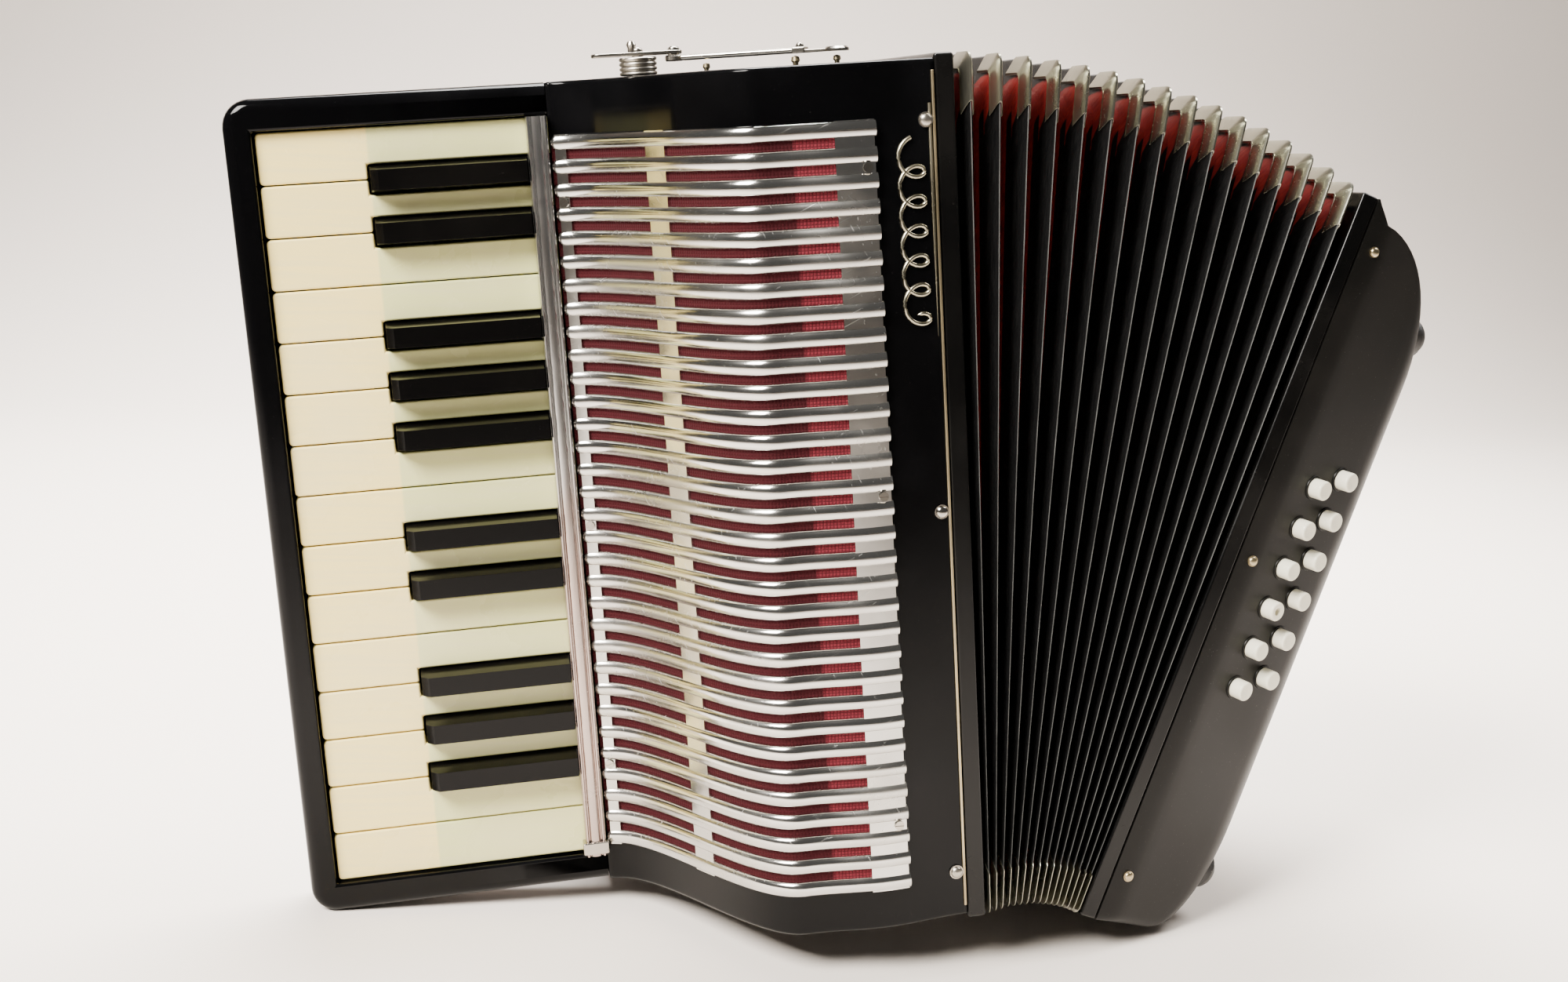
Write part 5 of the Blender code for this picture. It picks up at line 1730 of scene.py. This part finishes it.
@dataclass
class BassBox:
    """The satin black bass box, its frame, pins and feet."""

    bench: Bench
    start: float = 0.0073
    flat: float = 0.018
    set_in: float = 0.0015
    slant: float = 20.0
    shoulder: float = 0.0192
    back_round: float = 0.018
    top_round: tuple[float, float] = (0.050, 0.050)
    top_slope: float = 0.0075
    bottom_round: tuple[float, float] = (0.030, 0.048)
    bottom_slope: float = 0.0005
    front_round: float = 0.004
    fade: float = 0.010
    pin_heights: tuple[float, ...] = (0.0196, 0.1486, 0.2726)
    foot_heights: tuple[float, ...] = (0.0245, 0.2540)
    foot_depths: tuple[float, ...] = (0.030, 0.112)

    def plan(self, outer: float) -> list[Point2]:
        """The plan outline at a level that stands out as far as outer.

        Args:
            outer: how far the box stands out of the frame there.

        Returns:
            Points from the frame's front edge round to its back edge, always as many.
        """
        room = outer - self.start
        full = (room / (BASS_OUTER - self.start)) ** 2
        shoulder = min(self.shoulder * full, 0.8 * room)
        back = min(self.back_round, 0.8 * room)
        cx = outer - shoulder
        share = min(1.0, (cx - self.start) / (self.flat - self.start))
        slant = math.radians(self.slant) * share
        set_in = self.set_in * share
        near = [(0.0, 0.0), (0.0047, 0.0003), (0.0082, 0.0008), (self.flat - self.start, self.set_in)]
        points = [(self.start + x * share, y * share) for x, y in near]
        rise = max(0.0, cx - self.flat) * math.tan(slant) + shoulder / math.cos(slant)
        first = -90 + math.degrees(slant)
        bend = arc((cx, set_in + rise), (shoulder, shoulder), first, 0, 12)
        x0, y0 = points[-1]
        for i in range(1, 8):
            t = i / 8
            points.append((x0 + (bend[0][0] - x0) * t, y0 + (bend[0][1] - y0) * t))
        points += bend
        side = bend[-1][1]
        points += [(outer, side + (BASS_DEPTH - back - side) * i / 6) for i in range(1, 6)]
        points += arc((outer - back, BASS_DEPTH - back), (back, back), 0, 90, 8)
        rest = outer - back - self.start
        points += [(self.start + rest * t, BASS_DEPTH) for t in (0.66, 0.33, 0.0)]
        return points

    def reach(self, height: float) -> float:
        """How far the box stands out of the frame at a height."""
        low_x, low_z = self.bottom_round
        top_x, top_z = self.top_round
        low_centre = self.bottom_slope + low_z
        top_centre = BASS_HEIGHT - self.top_slope - top_z
        if height < low_centre:
            share = min(1.0, (low_centre - height) / low_z)
            out = BASS_OUTER - low_x + low_x * math.sqrt(max(0.0, 1 - share * share))
            if height < self.bottom_slope:
                out = self.start + (out - self.start) * max(0.0, height) / self.bottom_slope
            return out
        if height > top_centre:
            share = min(1.0, (height - top_centre) / top_z)
            out = BASS_OUTER - top_x + top_x * math.sqrt(max(0.0, 1 - share * share))
            slope_start = BASS_HEIGHT - self.top_slope
            if height > slope_start:
                out = self.start + (out - self.start) * (BASS_HEIGHT - height) / self.top_slope
            return out
        return BASS_OUTER

    def heights(self) -> list[float]:
        """Levels of the loft, closer together at its ends."""
        low_end = self.bottom_slope + self.bottom_round[1]
        top_end = BASS_HEIGHT - self.top_slope - self.top_round[1]
        quarter = [math.pi / 2 * i / 16 for i in range(17)]
        levels = [0.00005, self.bottom_slope]
        levels += [
            self.bottom_slope + self.bottom_round[1] * (1 - math.cos(a)) for a in quarter[1:]
        ]
        levels += [low_end + (top_end - low_end) * i / 12 for i in range(1, 12)]
        levels += [top_end + self.top_round[1] * math.sin(a) for a in quarter]
        levels += [BASS_HEIGHT - self.top_slope * t for t in (0.75, 0.5, 0.25, 0.02)]
        return sorted(set(levels))

    def ease(self, height: float) -> float:
        """How far the front and back faces draw in near the ends, rounding their edges."""
        near = min(height, BASS_HEIGHT - height)
        r = self.front_round
        if near >= r:
            return 0.0
        return r - math.sqrt(max(0.0, r * r - (r - near) ** 2))

    def build(self) -> None:
        """Builds the box, its frame, its pins and its feet."""
        rack = self.bench.rack
        rings = []
        for height in self.heights():
            draw = self.ease(height)
            squeeze = (BASS_DEPTH - 2 * draw) / BASS_DEPTH
            ring = []
            for x, y in self.plan(max(self.reach(height), self.start + 0.0005)):
                fade = min(1.0, (x - self.start) / self.fade)
                ring.append(Vector((x, y + (draw + y * squeeze - y) * fade, height)))
            rings.append(ring)
        mesh = smooth(loft(rings), 60)
        self.bench.add("bass_shell", mesh, rack.satin, "bass", Side.BASS, ["bass_case"])
        box = (0.0, 0.0, BASS_DEPTH, BASS_HEIGHT)
        mesh = ring_frame(box, 0.0, BASS_FRAME_THICKNESS, FRAME_WIDTH)
        self.bench.add("bass_frame", mesh, rack.lacquer, "bass", Side.BASS, ["bass_bellows_frame"])
        normal = Vector((0.05, -1.0, 0.0)).normalized()
        spots = [(Vector((0.0135, 0.0003, z)), normal) for z in self.pin_heights]
        self.bench.heads("bass_pins", pin_head(0.0021, 0.0016), spots, rack.brass, Side.BASS)
        self.build_feet()

    def build_feet(self) -> None:
        """Four domed feet on the outer face."""
        spots = []
        for height in self.foot_heights:
            below, above = self.reach(height - 0.001), self.reach(height + 0.001)
            normal = Vector((0.002, 0.0, below - above)).normalized()
            for y in self.foot_depths:
                spots.append((Vector((self.reach(height) - 0.0004, y, height)), normal))
        brim, edge = 0.0080, 0.0015
        profile = arc((0.0, edge), (0.0072, 0.0048), 90, 0, 8)
        profile += [(brim, edge), (brim, -edge), (0.0, -edge)]
        self.bench.heads("bass_feet", turned(profile, 28), spots, self.bench.rack.rubber, Side.BASS)


@dataclass
class BassButtons:
    """Twelve bass buttons in two slanting rows and the air button."""

    bench: Bench
    box: BassBox
    rows: int = 6
    pitch: float = 0.01645
    radius: float = 0.0038
    stand_out: float = 0.0058
    columns: tuple[float, float] = (0.031, 0.044)
    top: float = 0.1902
    stagger: float = 0.007
    hollow: int = 7
    air_radius: float = 0.006
    air_place: Point2 = (0.041, 0.205)

    def cap(self, radius: float, height: float, hollow: bool) -> bpy.types.Mesh:
        """A button: a cylinder with an eased rim, its top dished or with a hole."""
        ease, foot = 0.0008, -0.004
        top = [(0.0, height - 0.0003), (0.6 * radius, height - 0.0001)]
        if hollow:
            pit = height - 0.0028
            top = [(0.0, pit), (0.36 * radius, pit), (0.40 * radius, height - 0.0003)]
        rim = arc((radius - ease, height - ease), (ease, ease), 90, 0, 5)
        return turned(top + rim + [(radius, foot), (0.0, foot)], 32)

    def build(self) -> None:
        """Builds every button on its own body, and the rings round their holes."""
        slant = math.radians(self.box.slant)
        normal = Vector((math.sin(slant), -math.cos(slant), 0))
        ivory = self.bench.rack.button
        rings = []
        number = 0
        for row in range(self.rows):
            for column, along in enumerate(self.columns):
                number += 1
                depth = self.box.set_in + (along - self.box.flat) * math.tan(slant)
                height = self.top - row * self.pitch - (0.0 if column else self.stagger)
                turn = Vector((0, 0, 1)).rotation_difference(normal).to_matrix().to_4x4()
                place = Matrix.Translation((along, depth, height)) @ turn
                cap = self.cap(self.radius, self.stand_out, number == self.hollow)
                name = f"bass_button_{number:02d}"
                self.bench.add(f"{name}_cap", moved(cap, place), ivory, name, Side.BASS, [name])
                rings.append(moved(self.collar(), place))
        self.bench.add("button_collars", joined(rings), self.bench.rack.satin, "bass", Side.BASS)
        y, z = self.air_place
        place = Matrix.Translation((BASS_OUTER, y, z)) @ Matrix.Rotation(math.radians(90), 4, "Y")
        cap = moved(self.cap(self.air_radius, 0.004, False), place)
        self.bench.add("air_button_cap", cap, ivory, "air_valve", Side.BASS, ["air_button"])

    def collar(self) -> bpy.types.Mesh:
        """The raised ring round a button's hole."""
        section = ((0.0001, 0.0002), (0.0002, 0.0005), (0.0009, 0.0004), (0.0011, -0.0002))
        hoops = [circle(self.radius + wide, z, 28) for wide, z in section]
        rings = [list(ring) for ring in zip(*hoops)]
        return smooth(loft(rings, closed=True), 50)


@dataclass
class HandStrap:
    """The leather hand strap, stitched along its edges, and its thumbwheel."""

    bench: Bench
    width: float = 0.052
    thickness: float = 0.0028
    bow: float = 0.017
    ends: tuple[float, float] = (0.052, 0.236)
    centre: float = 0.090
    lap: float = 0.016
    stitch_inset: float = 0.0035
    plate_half: float = 0.005
    wheel_radius: float = 0.011
    wheel_width: float = 0.007

    def line(self, out: float) -> list[Point2]:
        """The strap's run, as distance out of the box and height."""
        low, high = self.ends
        base = BASS_OUTER + GAP + out
        points = [(base, low - self.lap), (base, low - 0.5 * self.lap)]
        count = 28
        for i in range(count + 1):
            share = i / count
            bowed = self.bow * math.sin(math.pi * share) ** 0.8
            points.append((base + bowed, low + (high - low) * share))
        points += [(base, high + 0.5 * self.lap), (base, high + self.lap)]
        return points

    def build(self) -> None:
        """Builds the band, its padding ridge, its stitches, its end plates and the wheel."""
        half = self.width / 2
        inner, outer = self.line(0.0), self.line(self.thickness)
        rings = []
        left = [(-1.0, 0.5), (-0.985, 0.85), (-0.95, 1.0), (-0.5, 1.12)]
        across = left + [(0.0, 1.15)] + [(-y, t) for y, t in left[::-1]]
        across += [(y, 0.0) for y in (0.95, 0.4, -0.4, -0.95)]
        for (xi, zi), (xo, _) in zip(inner, outer):
            rings.append(
                [Vector((xi + (xo - xi) * t, self.centre + half * y, zi)) for y, t in across]
            )
        mesh = smooth(loft(rings), 60)
        rack = self.bench.rack
        self.bench.add("strap_band", mesh, rack.leather, "bass", Side.BASS, ["hand_strap"])
        runs = []
        for side in (-1, 1):
            y = self.centre + side * (half - self.stitch_inset)
            run = [Vector((x + 0.0001, y, z)) for x, z in outer]
            stitched = grown(path_mesh(run), stitches_rig(), {"Finish": rack.thread.material()})
            runs.append(stitched)
        self.bench.add("strap_stitches", joined(runs), rack.thread, "bass", Side.BASS)
        plates, spots = [], []
        face, outwards = BASS_OUTER + self.thickness, Vector((1, 0, 0))
        for z in (self.ends[0] - 0.6 * self.lap, self.ends[1] + 0.6 * self.lap):
            near, far = self.centre - half * 0.9, self.centre + half * 0.9
            low, high = z - self.plate_half, z + self.plate_half
            plate = prism([(near, low), (far, low), (far, high), (near, high)], 0.0, 0.0011)
            turn = Matrix(((0, 0, 1, face + 0.0004), (1, 0, 0, 0), (0, 1, 0, 0), (0, 0, 0, 1)))
            plates.append(softened(moved(plate, turn), 0.0004, 3))
            for y in (-0.7, 0.7):
                spots.append((Vector((face + 0.0015, self.centre + half * y, z)), outwards))
        self.bench.add("strap_plates", joined(plates), rack.chrome, "bass", Side.BASS)
        self.bench.heads("strap_screws", screw_head(0.0024, 0.0009), spots, rack.chrome, Side.BASS)
        self.build_wheel()

    def build_wheel(self) -> None:
        """The knurled wheel that draws the strap tight."""
        groove, ease, ridge = 0.0006, 0.0004, 0.0009
        r, half = self.wheel_radius - 0.0006, self.wheel_width / 2
        profile = [(0.0, half), (0.35 * r, half), (0.4 * r, half - groove)]
        profile += [(0.8 * r, half - groove), (0.86 * r, half), (r - ease, half)]
        profile += [(r, half - ease), (r, -half + ease), (r - ease, -half), (0.0, -half)]
        core = turned(profile, 48)
        steel = self.bench.rack.steel
        sizes = {"Count": 40, "Radius": r, "Width": self.wheel_width - 2 * groove, "Ridge": ridge,
                 "Finish": steel.material()}
        mesh = grown(core, knurl_rig(), sizes)
        height = self.ends[1] + self.lap + GAP + self.wheel_radius
        place = Matrix.Translation((BASS_OUTER - 0.45 * self.wheel_radius, self.centre, height))
        mesh = moved(mesh, place @ Matrix.Rotation(math.radians(90), 4, "X"))
        mesh.set_sharp_from_angle(angle=SHARP_EDGE)
        self.bench.add("strap_thumbwheel", mesh, steel, "wheel", Side.BASS, ["strap_wheel"])


# ---------------------------------------------------------------- the set


@dataclass
class Studio:
    """The floor, the lights and the camera."""

    stance: Stance
    lens: float = 43.07
    eye: Vector = field(default_factory=lambda: Vector((0.06573, -0.70175, 0.30048)))
    right: Vector = field(default_factory=lambda: Vector((0.9825, -0.1771, -0.0575)))
    down: Vector = field(default_factory=lambda: Vector((-0.0922, -0.195, -0.9765)))
    view: Vector = field(default_factory=lambda: Vector((0.1617, 0.9647, -0.2079)))

    def build(self) -> None:
        """Builds the set."""
        self.build_camera()
        self.build_floor()
        self.build_lights()

    def build_camera(self) -> None:
        """The camera, set in the treble side's frame."""
        data = bpy.data.cameras.new("camera")
        data.lens = self.lens
        data.sensor_width = 36.0
        data.clip_start, data.clip_end = 0.01, 50.0
        made = linked("camera", data)
        columns = (self.right, -self.down, -self.view)
        turn = Matrix(columns).transposed().to_4x4()
        place = self.stance.treble @ Matrix.Translation(self.eye) @ turn
        made.location = place.translation
        made.rotation_mode = "QUATERNION"
        made.rotation_quaternion = place.to_quaternion()
        bpy.context.scene.camera = made

    def build_floor(self) -> None:
        """A pale floor that curves up into a backdrop."""
        reach, bend, radius, tall = 6.0, 1.2, 0.9, 4.0
        run = [(-reach, 0.0), (bend, 0.0)] + arc((bend, radius), (radius, radius), -90, 0, 16)[1:]
        run += [(bend + radius, tall)]
        points = [(x, y, z) for y, z in run for x in (-reach, reach)]
        faces = [(2 * i, 2 * i + 1, 2 * i + 3, 2 * i + 2) for i in range(len(run) - 1)]
        mesh = bpy.data.meshes.new("floor")
        mesh.from_pydata(points, [], faces)
        mesh.shade_smooth()
        made = linked("floor", mesh)
        surface = bpy.data.materials.new("pale_floor")
        surface.use_nodes = True
        shader = surface.node_tree.nodes["Principled BSDF"]
        shader.inputs["Base Color"].default_value = (0.86, 0.78, 0.71, 1.0)
        shader.inputs["Roughness"].default_value = 0.85
        mesh.materials.append(surface)

    def build_lights(self) -> None:
        """A soft key from the upper left, a broad fill from the right and a pale sky."""
        self.lamp("key", (-1.2, -0.9, 1.5), (0.0, 0.3, 0.0), 24.0, 0.9, 60.0, (1.0, 0.96, 0.90))
        self.lamp("fill", (1.3, 0.3, 1.6), (0.05, 0.4, 0.0), 9.0, 0.8, 70.0, (1.0, 0.97, 0.94))
        self.lamp("top", (0.1, 0.8, 1.9), (0.0, 0.75, 0.0), 52.0, 1.2, 80.0, (1.0, 0.98, 0.95))
        self.lamp("backdrop", (0.3, 0.5, 2.3), (0.2, 2.1, 0.7), 30.0, 1.0, 110.0, (1.0, 0.97, 0.94))
        world = bpy.data.worlds.new("sky")
        bpy.context.scene.world = world
        world.use_nodes = True
        sky = world.node_tree.nodes["Background"]
        sky.inputs[0].default_value = (1.0, 0.97, 0.93, 1.0)
        sky.inputs[1].default_value = 0.09

    def lamp(
        self,
        name: str,
        place: tuple,
        aim: tuple,
        power: float,
        size: float,
        spread: float,
        colour: Colour,
    ) -> None:
        """An area lamp aimed at a point, its power in watts and its spread in degrees."""
        data = bpy.data.lights.new(name, "AREA")
        data.energy = power
        data.size = size
        data.spread = math.radians(spread)
        data.color = colour
        made = linked(name, data)
        made.location = place
        way = Vector(aim) - Vector(place)
        made.rotation_mode = "QUATERNION"
        made.rotation_quaternion = way.to_track_quat("-Z", "Y")


def main() -> None:
    """Builds the accordion's surfaces and the set."""
    logging.basicConfig(level=logging.INFO, format="%(name)s: %(message)s")
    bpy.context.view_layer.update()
    stance = Stance.from_joints(frame["joints"])
    bench = Bench(stance, Rack())
    Studio(stance).build()
    TrebleBody(bench).build()
    Tray(bench).build()
    Keyboard(bench).build()
    Grille(bench).build()
    Clasp(bench).build()
    TrebleFittings(bench).build()
    Bellows(bench).build()
    box = BassBox(bench)
    box.build()
    BassButtons(bench, box).build()
    HandStrap(bench).build()
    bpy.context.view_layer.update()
    log.info("%d pieces", bench.count)


if __name__ == "__main__":
    main()
